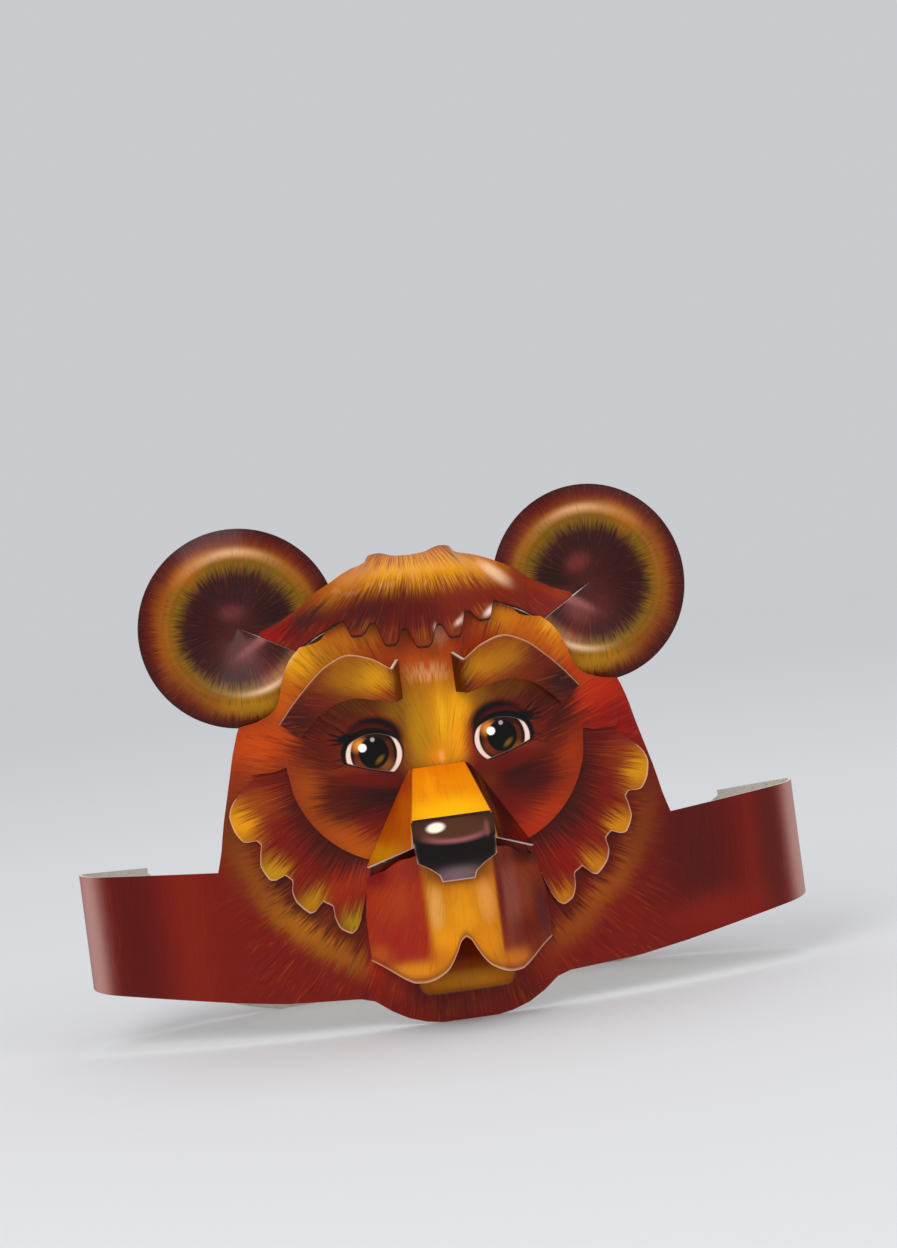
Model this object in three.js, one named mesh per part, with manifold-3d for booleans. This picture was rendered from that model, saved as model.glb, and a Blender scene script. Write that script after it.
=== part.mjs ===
// A bear mask of folded card. The face and its side bands are one sheet, closed into an oval head loop by a
// back strap. The hair, ears, brows, cheek fur, snout, nose and lips are sheets of their own.
// Millimetres. X runs across the mask, -Y is the front, +Z is up.
import * as THREE from "three";
import { mergeVertices } from "three/addons/utils/BufferGeometryUtils.js";
import Module from "manifold-3d";

// Card and seats
const CARD = 1.0;
const SEAT = 0.3;
const STEP = CARD + SEAT; // middle of one sheet to the middle of the sheet that lies on it

// Head loop: an oval of two wide arcs and two tight turns
const LOOP_HALF_WIDTH = 133;
const LOOP_HALF_DEPTH = 38;
const TURN_RADIUS = 15;

// Face
const FACE_HALF = 83;
const FACE_HEIGHT = 150;
const FACE_LIFT = 2 * STEP; // the cheeks stand this far in front of the bands, so that the fur fits between
const CHEEK_RADIUS = 39.3;
const CHEEK_ACROSS = 14.3;
const CHEEK_UP = 98;
const BAND_SLIT_HEIGHT = 22;

// Back strap
const STRAP_HEIGHT = 40;
const STRAP_LOW = 6; // height of its lower edge above the chin, square to the face
const STRAP_FLAT = 60; // half length of the straight part of its lower edge
const TONGUE_HEIGHT = 18;

// Ears
const EAR_RADIUS = 36;
const EAR_ACROSS = 64.5;
const EAR_UP = FACE_HEIGHT;
const EAR_CREASE = 25.5;
const EAR_DEPTH = 6;
const EAR_RIM_TURN = 3.5;
const EAR_SLIT_TURN = 210; // degrees, direction of the slit from the middle of the right ear

// Hair
const CROWN_HALF = 57;
const CROWN_TOP = FACE_HEIGHT + 20;
const CROWN_PROUD = 7;
const CROWN_TURN_BACK = 15;

// Brows
const BROW_HALF = 54.5;
const BROW_PROUD = 9;

// Cheek fur
const RUFF_REACH = 65.5; // from the middle of the cheek to the tips
const RUFF_CURL = 2.6;

// Muzzle
const LIP_HALF = 32.5;
const LIP_HEIGHT = 62;
const LIP_PROUD = 25.5;
const MOUTH_HALF = 17.5;
const MOUTH_PROUD = 10;
const MOUTH_LOW = 11;
const MOUTH_HIGH = 34;
const MOUTH_CORNER = 3.5;
const SNOUT_TOP = 91.5;
const SNOUT_FOLD = 74.5;
const SNOUT_PROUD = 30.3;
const NOSE_HALF = 14.5;
const NOSE_PROUD = SNOUT_PROUD + STEP - 0.2;
const NOSE_LOW = 60;
const NOSE_FLAP_LOW = 52;

// Sizes that follow
const TURN_ACROSS = LOOP_HALF_WIDTH - TURN_RADIUS;
const TURN_IN = LOOP_HALF_DEPTH - TURN_RADIUS;
const ARC_BACK = (TURN_ACROSS ** 2 - TURN_IN ** 2) / (2 * TURN_IN); // centre of the front arc behind the middle
const ARC_RADIUS = ARC_BACK + LOOP_HALF_DEPTH;
const ARC_HALF_ANGLE = Math.atan2(TURN_ACROSS, ARC_BACK);
const ARC_RUN = ARC_RADIUS * ARC_HALF_ANGLE;
const TURN_RUN = TURN_RADIUS * (Math.PI - 2 * ARC_HALF_ANGLE);
const LOOP_HALF_RUN = 2 * ARC_RUN + TURN_RUN;
const BAND_RUN = ARC_RUN + TURN_RUN + 16;
const SLIT_START = BAND_RUN - 10;
const SLIT_END = BAND_RUN - 3.5;
const LEAN = Math.atan2(STRAP_LOW, 2 * LOOP_HALF_DEPTH);

const mix = (a, b, t) => a + (b - a) * t;
const clamp = (t) => Math.min(1, Math.max(0, t));
const smooth = (t) => clamp(t) ** 2 * (3 - 2 * clamp(t));

// Reads a table of shares at x: rows run from small to large in the column "at".
function read(table, column, x) {
  const last = table.length - 1;
  if (x <= table[0].at) return table[0][column];
  if (x >= table[last].at) return table[last][column];
  const i = table.findIndex((row) => row.at > x);
  const a = table[i - 1];
  const b = table[i];
  return mix(a[column], b[column], (x - a.at) / (b.at - a.at));
}

// The loop's middle line at a run from the front middle, with its outward direction.
function loopAt(run) {
  const side = Math.sign(run) || 1;
  const r = Math.abs(run);
  let x;
  let y;
  let nx;
  let ny;
  if (r <= ARC_RUN) {
    const a = r / ARC_RADIUS;
    nx = Math.sin(a);
    ny = -Math.cos(a);
    x = ARC_RADIUS * nx;
    y = ARC_BACK + ARC_RADIUS * ny;
  } else if (r <= ARC_RUN + TURN_RUN) {
    const a = ARC_HALF_ANGLE + (r - ARC_RUN) / TURN_RADIUS;
    nx = Math.sin(a);
    ny = -Math.cos(a);
    x = TURN_ACROSS + TURN_RADIUS * nx;
    y = TURN_RADIUS * ny;
  } else {
    const a = (LOOP_HALF_RUN - r) / ARC_RADIUS;
    nx = Math.sin(a);
    ny = Math.cos(a);
    x = ARC_RADIUS * nx;
    y = -ARC_BACK + ARC_RADIUS * ny;
  }
  return { x: side * x, y, nx: side * nx, ny };
}

const runOf = (x) => ARC_RADIUS * Math.asin(x / ARC_RADIUS);
const frontY = (x) => ARC_BACK - Math.sqrt(ARC_RADIUS ** 2 - x ** 2);

// A point over the front arc: proud is the distance in front of the bands.
const over = (x, z, proud) => new THREE.Vector3(x, frontY(x) - proud, z);

// A point on the loop, moved outwards.
function onLoop(run, z, out) {
  const p = loopAt(run);
  return new THREE.Vector3(p.x + p.nx * out, p.y + p.ny * out, z);
}

// Turns a middle surface of four-sided cells into a closed sheet of card.
// points: middle points. cells: four indices each, anticlockwise seen from the printed side.
function card(name, points, cells, colour, thickness = CARD) {
  const normals = points.map(() => new THREE.Vector3());
  for (const [a, b, c, d] of cells) {
    const across = points[c].clone().sub(points[a]);
    const along = points[d].clone().sub(points[b]);
    const normal = across.cross(along);
    for (const i of [a, b, c, d]) normals[i].add(normal);
  }
  normals.forEach((n) => n.normalize());
  const front = points.map((p, i) => p.clone().addScaledVector(normals[i], thickness / 2));
  const back = points.map((p, i) => p.clone().addScaledVector(normals[i], -thickness / 2));
  const count = points.length;
  const index = [];
  const edges = new Map();
  const face = (a, b, c, d) => index.push(a, b, c, a, c, d);
  for (const cell of cells) {
    const [a, b, c, d] = cell;
    face(a, b, c, d);
    face(d + count, c + count, b + count, a + count);
    cell.forEach((from, i) => edges.set(from + " " + cell[(i + 1) % 4], [from, cell[(i + 1) % 4]]));
  }
  for (const [from, to] of edges.values()) {
    if (!edges.has(to + " " + from)) face(from, from + count, to + count, to);
  }
  const geometry = new THREE.BufferGeometry().setFromPoints([...front, ...back]);
  geometry.setIndex(index);
  geometry.computeVertexNormals();
  const material = new THREE.MeshStandardMaterial({ color: colour, roughness: 0.35, metalness: 0 });
  const mesh = new THREE.Mesh(geometry, material);
  mesh.name = name;
  return mesh;
}

// A sheet on a grid: columns run across from -X to +X as seen from the front, rows from low to high.
// keep(i, j) is false for a cell that is cut out.
function sheet(name, columns, rows, point, colour, keep = () => true) {
  const points = [];
  const cells = [];
  const at = (i, j) => i * rows.length + j;
  columns.forEach((c) => rows.forEach((r) => points.push(point(c, r))));
  for (let i = 0; i + 1 < columns.length; i += 1) {
    for (let j = 0; j + 1 < rows.length; j += 1) {
      if (keep(i, j)) cells.push([at(i, j), at(i + 1, j), at(i + 1, j + 1), at(i, j + 1)]);
    }
  }
  return card(name, points, cells, colour);
}

const mirrored = (half) => [...half.filter((x) => x > 0).reverse().map((x) => -x), ...half];
const steps = (from, to, count) => Array.from({ length: count + 1 }, (_, i) => mix(from, to, i / count));

// Face and bands. at: share of FACE_HALF. low, high: shares of FACE_HEIGHT.
const FACE_LOW = [
  { at: 0, low: -0.002 },
  { at: 0.1, low: -0.002 },
  { at: 0.19, low: 0.006 },
  { at: 0.265, low: 0.02 },
  { at: 0.335, low: 0.042 },
  { at: 0.4, low: 0.07 },
  { at: 0.46, low: 0.08 },
  { at: 0.78, low: 0.09 },
  { at: 1, low: 0.107 },
];
const FACE_HIGH = [
  { at: 0, high: 1 },
  { at: 0.36, high: 1 },
  { at: 0.41, high: 0.96 },
  { at: 0.43, high: 0.947 },
  { at: 0.458, high: 0.941 },
  { at: 0.524, high: 0.935 },
  { at: 0.57, high: 0.912 },
  { at: 0.6, high: 0.885 },
  { at: 0.62, high: 0.858 },
  { at: 0.635, high: 0.825 },
  { at: 0.652, high: 0.8 },
  { at: 0.69, high: 0.783 },
  { at: 0.753, high: 0.77 },
  { at: 0.831, high: 0.762 },
  { at: 0.904, high: 0.633 },
  { at: 0.952, high: 0.533 },
  { at: 0.976, high: 0.467 },
  { at: 1, high: 0.423 },
];
const BAND_TIP_LOW = 26;
const BAND_TIP_HIGH = 68;
const BAND_END_LOW = 24.5;
const BAND_END_HIGH = 66;
const CHEEK_SLIT_IN = 22;
const CHEEK_SLIT_OUT = 67.5;

function faceLow(run) {
  const r = Math.abs(run);
  const tip = ARC_RUN + TURN_RUN / 2;
  if (r > tip) return mix(BAND_TIP_LOW, BAND_END_LOW, (r - tip) / (BAND_RUN - tip));
  const start = runOf(FACE_HALF);
  if (r > start) {
    const low = read(FACE_LOW, "low", 1) * FACE_HEIGHT;
    return mix(low, BAND_TIP_LOW, (r - start) / (tip - start));
  }
  return read(FACE_LOW, "low", ARC_RADIUS * Math.sin(r / ARC_RADIUS) / FACE_HALF) * FACE_HEIGHT;
}

function faceHigh(run) {
  const r = Math.abs(run);
  const tip = ARC_RUN + TURN_RUN / 2;
  if (r > tip) return mix(BAND_TIP_HIGH, BAND_END_HIGH, (r - tip) / (BAND_RUN - tip));
  const start = runOf(FACE_HALF);
  if (r > start) {
    const high = read(FACE_HIGH, "high", 1) * FACE_HEIGHT;
    return mix(high, BAND_TIP_HIGH, (r - start) / (tip - start));
  }
  return read(FACE_HIGH, "high", ARC_RADIUS * Math.sin(r / ARC_RADIUS) / FACE_HALF) * FACE_HEIGHT;
}

// The line along which the cheeks are cut free, as a height over x.
function cheekLine(x) {
  const a = Math.min(Math.abs(x), CHEEK_ACROSS + CHEEK_RADIUS);
  const inner = Math.max(a, CHEEK_SLIT_IN);
  return CHEEK_UP - Math.sqrt(CHEEK_RADIUS ** 2 - (inner - CHEEK_ACROSS) ** 2);
}

function faceBand() {
  const half = [
    0, 8, 16, 22, 25, 28, 31, 34, 36, 38, 41, 44, 46.5, 48.5, 50.2, 51.6, 52.7, 53.3, 53.6, 55.5, 57.5,
    60, 63.5, 65.5, 67.5, 69, 71, 73, 75, 77, 79, 81, 83,
  ].map(runOf);
  const band = steps(runOf(FACE_HALF + 1), ARC_RUN, 5);
  const turn = steps(ARC_RUN, ARC_RUN + TURN_RUN, 8).slice(1);
  const end = [mix(ARC_RUN + TURN_RUN, SLIT_START, 0.6), SLIT_START, SLIT_END, BAND_RUN];
  const columns = mirrored([...half, ...band, ...turn, ...end]);
  const points = [];
  const cells = [];
  const slitHalf = BAND_SLIT_HEIGHT / 2;
  const stacks = columns.map((run) => {
    const r = Math.abs(run);
    const x = ARC_RADIUS * Math.sin(Math.min(r, ARC_RUN) / ARC_RADIUS);
    const low = faceLow(run);
    const high = faceHigh(run);
    const add = (z, lift) => points.push(onLoop(run, z, lift)) - 1;
    if (r > runOf(FACE_HALF) + 0.1) {
      const middle = (low + high) / 2;
      const heights = [low, middle - slitHalf, middle, middle + slitHalf, high];
      const stack = heights.map((z) => add(z, 0));
      return { under: stack.slice(0, 3), upper: stack.slice(2) };
    }
    const line = Math.min(cheekLine(x), high - 8);
    const open = x > CHEEK_SLIT_IN + 0.1 && x < CHEEK_SLIT_OUT - 0.1;
    const gap = open ? SEAT / 2 : 0;
    const inside = x < CHEEK_SLIT_IN + 0.1;
    const edgeLift = FACE_LIFT * clamp((CHEEK_SLIT_OUT - x) / (CHEEK_SLIT_OUT - 63.5));
    const topLift = FACE_LIFT * clamp((high - CHEEK_UP) / 10);
    const under = [add(low, 0), add(mix(low, line, 0.55), 0)];
    const bottomLip = add(line - gap, inside ? edgeLift : 0);
    const topLip = open ? add(line + gap, edgeLift) : bottomLip;
    const upper = [topLip, add(mix(line, high, 0.45), mix(edgeLift, topLift, 0.8)), add(high, topLift)];
    return { under: [...under, bottomLip], upper };
  });
  for (let i = 0; i + 1 < columns.length; i += 1) {
    for (const part of ["under", "upper"]) {
      const a = stacks[i][part];
      const b = stacks[i + 1][part];
      for (let j = 0; j + 1 < a.length; j += 1) {
        const inSlit = Math.min(Math.abs(columns[i]), Math.abs(columns[i + 1])) > SLIT_START - 0.1
          && Math.max(Math.abs(columns[i]), Math.abs(columns[i + 1])) < SLIT_END + 0.1;
        const cut = inSlit && (part === "under" ? j === 1 : j === 0);
        if (!cut) cells.push([a[j], b[j], b[j + 1], a[j + 1]]);
      }
    }
  }
  return card("face_band", points, cells, 0x7a2418);
}

// Back strap: outside the band's ends, with a tongue at each end that goes in through the slit.
function backStrap() {
  const flatRun = LOOP_HALF_RUN - runOf(STRAP_FLAT);
  const shoulder = SLIT_END + 1.5;
  const half = [
    SLIT_START - 12, SLIT_START - 6, SLIT_START - 0.5, SLIT_START + 1, SLIT_END - 1, SLIT_END + 0.3,
    shoulder, shoulder + 0.5, ...steps(shoulder + 10, flatRun, 6), ...steps(flatRun, LOOP_HALF_RUN, 5).slice(1),
  ];
  const columns = [...half, ...half.slice(0, -1).reverse().map((r) => 2 * LOOP_HALF_RUN - r)];
  const endMiddle = (BAND_END_LOW + BAND_END_HIGH) / 2;
  const point = (run, share) => {
    const r = run > LOOP_HALF_RUN ? 2 * LOOP_HALF_RUN - run : run;
    const place = loopAt(r);
    const inward = smooth((SLIT_END - 0.9 - r) / (SLIT_END - SLIT_START - 1.8));
    const out = mix(STEP, -STEP, inward);
    const floor = (STRAP_LOW * (place.y + LOOP_HALF_DEPTH)) / (2 * LOOP_HALF_DEPTH);
    const rise = clamp((flatRun - r) / (flatRun - shoulder)) ** 1.6;
    const tongue = r < shoulder + 0.2;
    const bottom = mix(floor - SEAT, endMiddle - STRAP_HEIGHT / 2, rise);
    const low = tongue ? endMiddle - TONGUE_HEIGHT / 2 : bottom;
    const high = tongue ? endMiddle + TONGUE_HEIGHT / 2 : bottom + STRAP_HEIGHT;
    return onLoop(run > LOOP_HALF_RUN ? -r : r, mix(low, high, share), out);
  };
  return sheet("back_strap", columns, [0, 0.5, 1], point, 0x6b2016);
}

// Ears. turn: angle round the ear from the front lip of the slit, r: distance from the middle.
const earShape = (r) =>
  r < EAR_CREASE
    ? -EAR_DEPTH * (1 - r / EAR_CREASE)
    : (-EAR_RIM_TURN * (r - EAR_CREASE)) / (EAR_RADIUS - EAR_CREASE);

function ear(name, side) {
  const count = 40;
  const radii = [6, 9, EAR_CREASE / 2 + 5, EAR_CREASE, 31, EAR_RADIUS];
  const points = [];
  const cells = [];
  const place = (turn, r, lip) => {
    const angle = THREE.MathUtils.degToRad(EAR_SLIT_TURN + turn);
    const x = EAR_ACROSS + r * Math.cos(angle);
    return over(side * x, EAR_UP + r * Math.sin(angle), earShape(r) + lip);
  };
  const middle = points.push(over(side * EAR_ACROSS, EAR_UP, earShape(0))) - 1;
  const stacks = steps(0, 1, count).map((share, i) =>
    radii.map((r) => {
      const last = i === count;
      const lap = last && r > 10 ? 9 : 0;
      const gap = last && r <= 10 ? 1.5 : 0;
      const turn = 360 * share + THREE.MathUtils.radToDeg(lap / r) - gap;
      return points.push(place(turn, r, mix(STEP, -STEP - SEAT, smooth((share - 0.15) / 0.7)) * clamp(r / 6))) - 1;
    }),
  );
  for (let i = 0; i < count; i += 1) {
    const [a, b] = side > 0 ? [stacks[i], stacks[i + 1]] : [stacks[i + 1], stacks[i]];
    cells.push([middle, a[0], b[0], middle]);
    for (let j = 0; j + 1 < radii.length; j += 1) cells.push([a[j], a[j + 1], b[j + 1], b[j]]);
  }
  return { points, cells, name };
}

// As card(), for a disc whose innermost cells are three-sided: [middle, a, b, middle].
function disc({ points, cells, name }, colour) {
  const triangles = cells.flatMap(([a, b, c, d]) => (a === d ? [[a, b, c]] : [[a, b, c], [a, c, d]]));
  const normals = points.map(() => new THREE.Vector3());
  for (const [a, b, c] of triangles) {
    const normal = points[b].clone().sub(points[a]).cross(points[c].clone().sub(points[a]));
    for (const i of [a, b, c]) normals[i].add(normal);
  }
  normals.forEach((n) => n.normalize());
  const front = points.map((p, i) => p.clone().addScaledVector(normals[i], CARD / 2));
  const back = points.map((p, i) => p.clone().addScaledVector(normals[i], -CARD / 2));
  const count = points.length;
  const edges = new Set(triangles.flatMap(([a, b, c]) => [a + " " + b, b + " " + c, c + " " + a]));
  const index = [];
  for (const [a, b, c] of triangles) index.push(a, b, c, c + count, b + count, a + count);
  for (const edge of edges) {
    const [from, to] = edge.split(" ").map(Number);
    if (!edges.has(to + " " + from)) index.push(from, from + count, to + count, from, to + count, to);
  }
  const geometry = new THREE.BufferGeometry().setFromPoints([...front, ...back]);
  geometry.setIndex(index);
  geometry.computeVertexNormals();
  const material = new THREE.MeshStandardMaterial({ color: colour, roughness: 0.35, metalness: 0 });
  const mesh = new THREE.Mesh(geometry, material);
  mesh.name = name;
  return mesh;
}

// Hair. at: share of CROWN_HALF. low, high: shares of CROWN_TOP.
const FRINGE = [
  { at: 0, low: 0.791 },
  { at: 0.11, low: 0.834 },
  { at: 0.205, low: 0.803 },
  { at: 0.295, low: 0.854 },
  { at: 0.41, low: 0.831 },
  { at: 0.488, low: 0.867 },
  { at: 0.65, low: 0.8425 },
  { at: 0.8, low: 0.812 },
  { at: 1, low: 0.824 },
];
const HAIR_TOP = [
  { at: 0, high: 0.988 },
  { at: 0.09, high: 0.99 },
  { at: 0.2, high: 1 },
  { at: 0.25, high: 0.998 },
  { at: 0.285, high: 0.984 },
  { at: 0.4, high: 0.972 },
  { at: 0.5, high: 0.957 },
  { at: 0.63, high: 0.935 },
  { at: 0.72, high: 0.912 },
  { at: 0.82, high: 0.893 },
  { at: 0.92, high: 0.876 },
  { at: 1, high: 0.868 },
];

function fringeLow(share) {
  const i = Math.max(1, FRINGE.findIndex((row) => row.at >= share));
  const a = FRINGE[i - 1];
  const b = FRINGE[i];
  const t = (share - a.at) / (b.at - a.at);
  if (i > 5) return mix(a.low, b.low, t);
  const fromLobe = a.low < b.low ? t : 1 - t;
  const wave = (1 - Math.cos(Math.PI * clamp((fromLobe - 0.25) / 0.75) ** 1.6)) / 2;
  return mix(Math.min(a.low, b.low), Math.max(a.low, b.low), wave);
}

function crown() {
  const lobes = FRINGE.slice(0, 6);
  const shares = lobes.flatMap((row, i) => (i ? steps(lobes[i - 1].at, row.at, 8).slice(1) : [row.at]));
  const half = [...shares, 0.54, 0.59, 0.63, 0.68, 0.73, 0.79, 0.86, 0.93, 1];
  const columns = mirrored(half);
  const point = (share, row) => {
    const across = Math.abs(share);
    const x = share * CROWN_HALF;
    const low = fringeLow(across) * CROWN_TOP;
    const high = read(HAIR_TOP, "high", across) * CROWN_TOP;
    const z = mix(low, high, row);
    const r = Math.hypot(Math.abs(x) - EAR_ACROSS, z - EAR_UP);
    const inEar = -EAR_DEPTH * clamp(1 - r / EAR_CREASE) - 0.25 * SEAT;
    const rise = 1 - smooth((Math.abs(x) - 2) / 36);
    const bulge = FACE_LIFT + STEP + 0.4 + CROWN_PROUD * rise * (0.25 + 0.75 * Math.sin(Math.PI * (0.15 + 0.7 * row)));
    const back = CROWN_TURN_BACK * smooth((32 - Math.abs(x)) / 14) * Math.max(0, (row - 0.6) / 0.4) ** 2;
    return over(x, z, mix(bulge - back, inEar, clamp((Math.abs(x) - 34.5) / 6)));
  };
  return sheet("crown", columns, [0, 0.2, 0.4, 0.6, 0.75, 0.88, 1], point, 0xa8561c);
}

// Brows. at: share from the outer end to the inner fold. The rest are shares of BROW_HALF and FACE_HEIGHT.
const BROW = [
  { at: 0, lowAcross: 0.872, low: 0.72, highAcross: 1, high: 0.76, proud: 0 },
  { at: 0.15, lowAcross: 0.78, low: 0.755, highAcross: 0.9, high: 0.803, proud: 0.35 },
  { at: 0.3, lowAcross: 0.69, low: 0.78, highAcross: 0.78, high: 0.847, proud: 0.62 },
  { at: 0.45, lowAcross: 0.6, low: 0.793, highAcross: 0.66, high: 0.883, proud: 0.82 },
  { at: 0.6, lowAcross: 0.5, low: 0.798, highAcross: 0.52, high: 0.903, proud: 0.95 },
  { at: 0.8, lowAcross: 0.37, low: 0.788, highAcross: 0.38, high: 0.89, proud: 1 },
  { at: 1, lowAcross: 0.24, low: 0.777, highAcross: 0.24, high: 0.857, proud: 0.92 },
];

function brow(name, side) {
  const shares = steps(0, 1, 12);
  const base = FACE_LIFT + STEP;
  const points = [];
  const cells = [];
  const add = (across, up, proud) => points.push(over(side * across * BROW_HALF, up * FACE_HEIGHT, proud)) - 1;
  const stacks = shares.map((share) => {
    const lowAcross = read(BROW, "lowAcross", share);
    const highAcross = read(BROW, "highAcross", share);
    const low = read(BROW, "low", share);
    const high = read(BROW, "high", share);
    const proud = base + BROW_PROUD * read(BROW, "proud", share);
    return [0, 0.5, 1].map((t) => add(mix(lowAcross, highAcross, t), mix(low, high, t), proud));
  });
  const last = BROW[BROW.length - 1];
  const foot = last.lowAcross - 3 / BROW_HALF;
  stacks.push([0, 0.5, 1].map((t) => add(foot, mix(last.low + 0.005, last.high + 0.02, t), base)));
  for (let i = 0; i + 1 < stacks.length; i += 1) {
    const [a, b] = side < 0 ? [stacks[i], stacks[i + 1]] : [stacks[i + 1], stacks[i]];
    for (let j = 0; j < 2; j += 1) cells.push([a[j], b[j], b[j + 1], a[j + 1]]);
  }
  return card(name, points, cells, 0x8c3d18);
}

// Cheek fur, round the middle of the cheek. at: degrees below level. reach: share of RUFF_REACH.
const RUFF = [
  { at: -5, reach: 0.7 },
  { at: 0.5, reach: 0.748 },
  { at: 6, reach: 0.86 },
  { at: 11, reach: 0.955 },
  { at: 14, reach: 0.98 },
  { at: 18, reach: 0.985 },
  { at: 22.5, reach: 0.97 },
  { at: 23.7, reach: 0.945 },
  { at: 24.6, reach: 0.905 },
  { at: 26.5, reach: 0.895 },
  { at: 29, reach: 0.925 },
  { at: 33, reach: 0.97 },
  { at: 37.5, reach: 0.98 },
  { at: 39.2, reach: 0.955 },
  { at: 40.2, reach: 0.905 },
  { at: 43, reach: 0.9 },
  { at: 46, reach: 0.955 },
  { at: 49.5, reach: 0.985 },
  { at: 54, reach: 0.995 },
  { at: 55.4, reach: 0.97 },
  { at: 56.2, reach: 0.905 },
  { at: 59.5, reach: 0.905 },
  { at: 62.5, reach: 0.97 },
  { at: 65.5, reach: 1.01 },
  { at: 68.3, reach: 1.015 },
  { at: 69.8, reach: 0.985 },
  { at: 70.4, reach: 0.93 },
];

function ruff(name, side) {
  const columns = RUFF.flatMap((row, i) => (i ? steps(RUFF[i - 1].at, row.at, 2).slice(1) : [row.at]));
  const inner = CHEEK_RADIUS - 4;
  const ordered = side > 0 ? [...columns].reverse() : columns;
  const point = (turn, row) => {
    const r = mix(inner, read(RUFF, "reach", turn) * RUFF_REACH, row);
    const angle = THREE.MathUtils.degToRad(turn);
    const x = CHEEK_ACROSS + r * Math.cos(angle);
    const z = CHEEK_UP - r * Math.sin(angle);
    const curl = RUFF_CURL * clamp((r - CHEEK_RADIUS - 4) / (RUFF_REACH - CHEEK_RADIUS - 4)) ** 2;
    return over(side * x, z, STEP + curl * smooth((turn - 3) / 8));
  };
  return sheet(name, ordered, [1, 0.75, 0.45, 0.15, 0], point, 0x8a2f1a);
}

// Snout: a top panel between two wings. at: share of the way from the brow down to the wing's corner.
const SNOUT = [
  { at: 0, ridge: 9, ridgeUp: SNOUT_TOP, proud: 0, foot: 10.8, footUp: 91.2 },
  { at: 0.32, ridge: 11.3, ridgeUp: 83, proud: 0.5, foot: 17, footUp: 81 },
  { at: 0.64, ridge: 13.6, ridgeUp: SNOUT_FOLD, proud: 1, foot: 23.5, footUp: 70 },
  { at: 1, ridge: 14.6, ridgeUp: 65.2, proud: 0.93, foot: 30, footUp: 58.8 },
];

function snoutBridge() {
  const base = FACE_LIFT + STEP;
  const rows = SNOUT.map((row) => {
    const proud = mix(base, SNOUT_PROUD, row.proud);
    const ridge = (side) => over(side * row.ridge, row.ridgeUp, proud);
    const foot = (side) => over(side * row.foot, row.footUp, base);
    const cheek = (side) => ridge(side).lerp(foot(side), 0.5);
    return [foot(-1), cheek(-1), ridge(-1), ridge(1), cheek(1), foot(1)];
  });
  const points = rows.flat();
  const cells = [];
  for (let j = 0; j + 1 < rows.length; j += 1) {
    for (let i = 0; i < 5; i += 1) {
      const a = j * 6 + i;
      if (j < 2 || i !== 2) cells.push([a + 6, a + 7, a + 1, a]);
    }
  }
  return card("snout_bridge", points, cells, 0xd98a1e);
}

// Nose: front panel and a flap folded back under it.
function nose() {
  const rows = [
    { half: 0.4, up: NOSE_FLAP_LOW, proud: LIP_PROUD + STEP + 0.1, bow: 0 },
    { half: 0.47, up: 54.8, proud: LIP_PROUD + STEP + 1.5, bow: 0.2 },
    { half: 0.7, up: 57.6, proud: LIP_PROUD + STEP + 3, bow: 0.5 },
    { half: 0.97, up: NOSE_LOW, proud: NOSE_PROUD, bow: 1 },
    { half: 1, up: 67, proud: NOSE_PROUD, bow: 1 },
    { half: 1, up: SNOUT_FOLD - 0.4, proud: NOSE_PROUD, bow: 0.6 },
  ];
  const point = (share, row) => {
    const proud = row.proud + 1.2 * row.bow * (1 - share ** 2);
    return over(share * row.half * NOSE_HALF, row.up, proud);
  };
  return sheet("nose", steps(-1, 1, 8), rows, point, 0x1c1412);
}

// Lips. at: share of LIP_HALF. low, high: shares of LIP_HEIGHT. proud: share of LIP_PROUD.
const LIP = [
  { at: 0, low: 0.51, high: 1, proud: 1 },
  { at: 0.05, low: 0.49, high: 1, proud: 1 },
  { at: 0.11, low: 0.43, high: 1, proud: 0.998 },
  { at: 0.17, low: 0.375, high: 1, proud: 0.995 },
  { at: 0.24, low: 0.33, high: 1, proud: 0.99 },
  { at: 0.33, low: 0.3, high: 1, proud: 0.975 },
  { at: 0.42, low: 0.28, high: 1, proud: 0.92 },
  { at: 0.5, low: 0.272, high: 0.99, proud: 0.83 },
  { at: 0.57, low: 0.272, high: 0.985, proud: 0.72 },
  { at: 0.66, low: 0.29, high: 0.965, proud: 0.58 },
  { at: 0.76, low: 0.325, high: 0.93, proud: 0.42 },
  { at: 0.88, low: 0.37, high: 0.91, proud: 0.24 },
  { at: 1, low: 0.41, high: 0.89, proud: 0.105 },
];

function upperLip() {
  const shares = LIP.flatMap((row, i) => (i ? steps(LIP[i - 1].at, row.at, 2).slice(1) : [row.at]));
  const point = (share, row) => {
    const across = Math.abs(share);
    const low = read(LIP, "low", across) * LIP_HEIGHT;
    const high = read(LIP, "high", across) * LIP_HEIGHT;
    const inset = 1 - 0.06 * smooth((row - 0.5) / 0.5) * across;
    return over(share * LIP_HALF * inset, mix(low, high, row), read(LIP, "proud", across) * LIP_PROUD);
  };
  return sheet("upper_lip", mirrored(shares), [0, 0.5, 1], point, 0xb5651d);
}

function lowerLip() {
  const point = (share, row) => {
    const corner = Math.max(0, (Math.abs(share) - 0.8) / 0.2) ** 2;
    const z = mix(MOUTH_LOW + MOUTH_CORNER * corner, MOUTH_HIGH, row);
    const proud = mix(MOUTH_PROUD - 2.5 * share ** 2, STEP + 0.15, row ** 0.8);
    return over(share * MOUTH_HALF * mix(1, 0.9, row), z, proud);
  };
  const shares = mirrored([0, 0.3, 0.6, 0.8, 0.9, 1]);
  return sheet("lower_lip", shares, [0, 0.25, 0.5, 0.75, 1], point, 0x9c6420);
}

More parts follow.
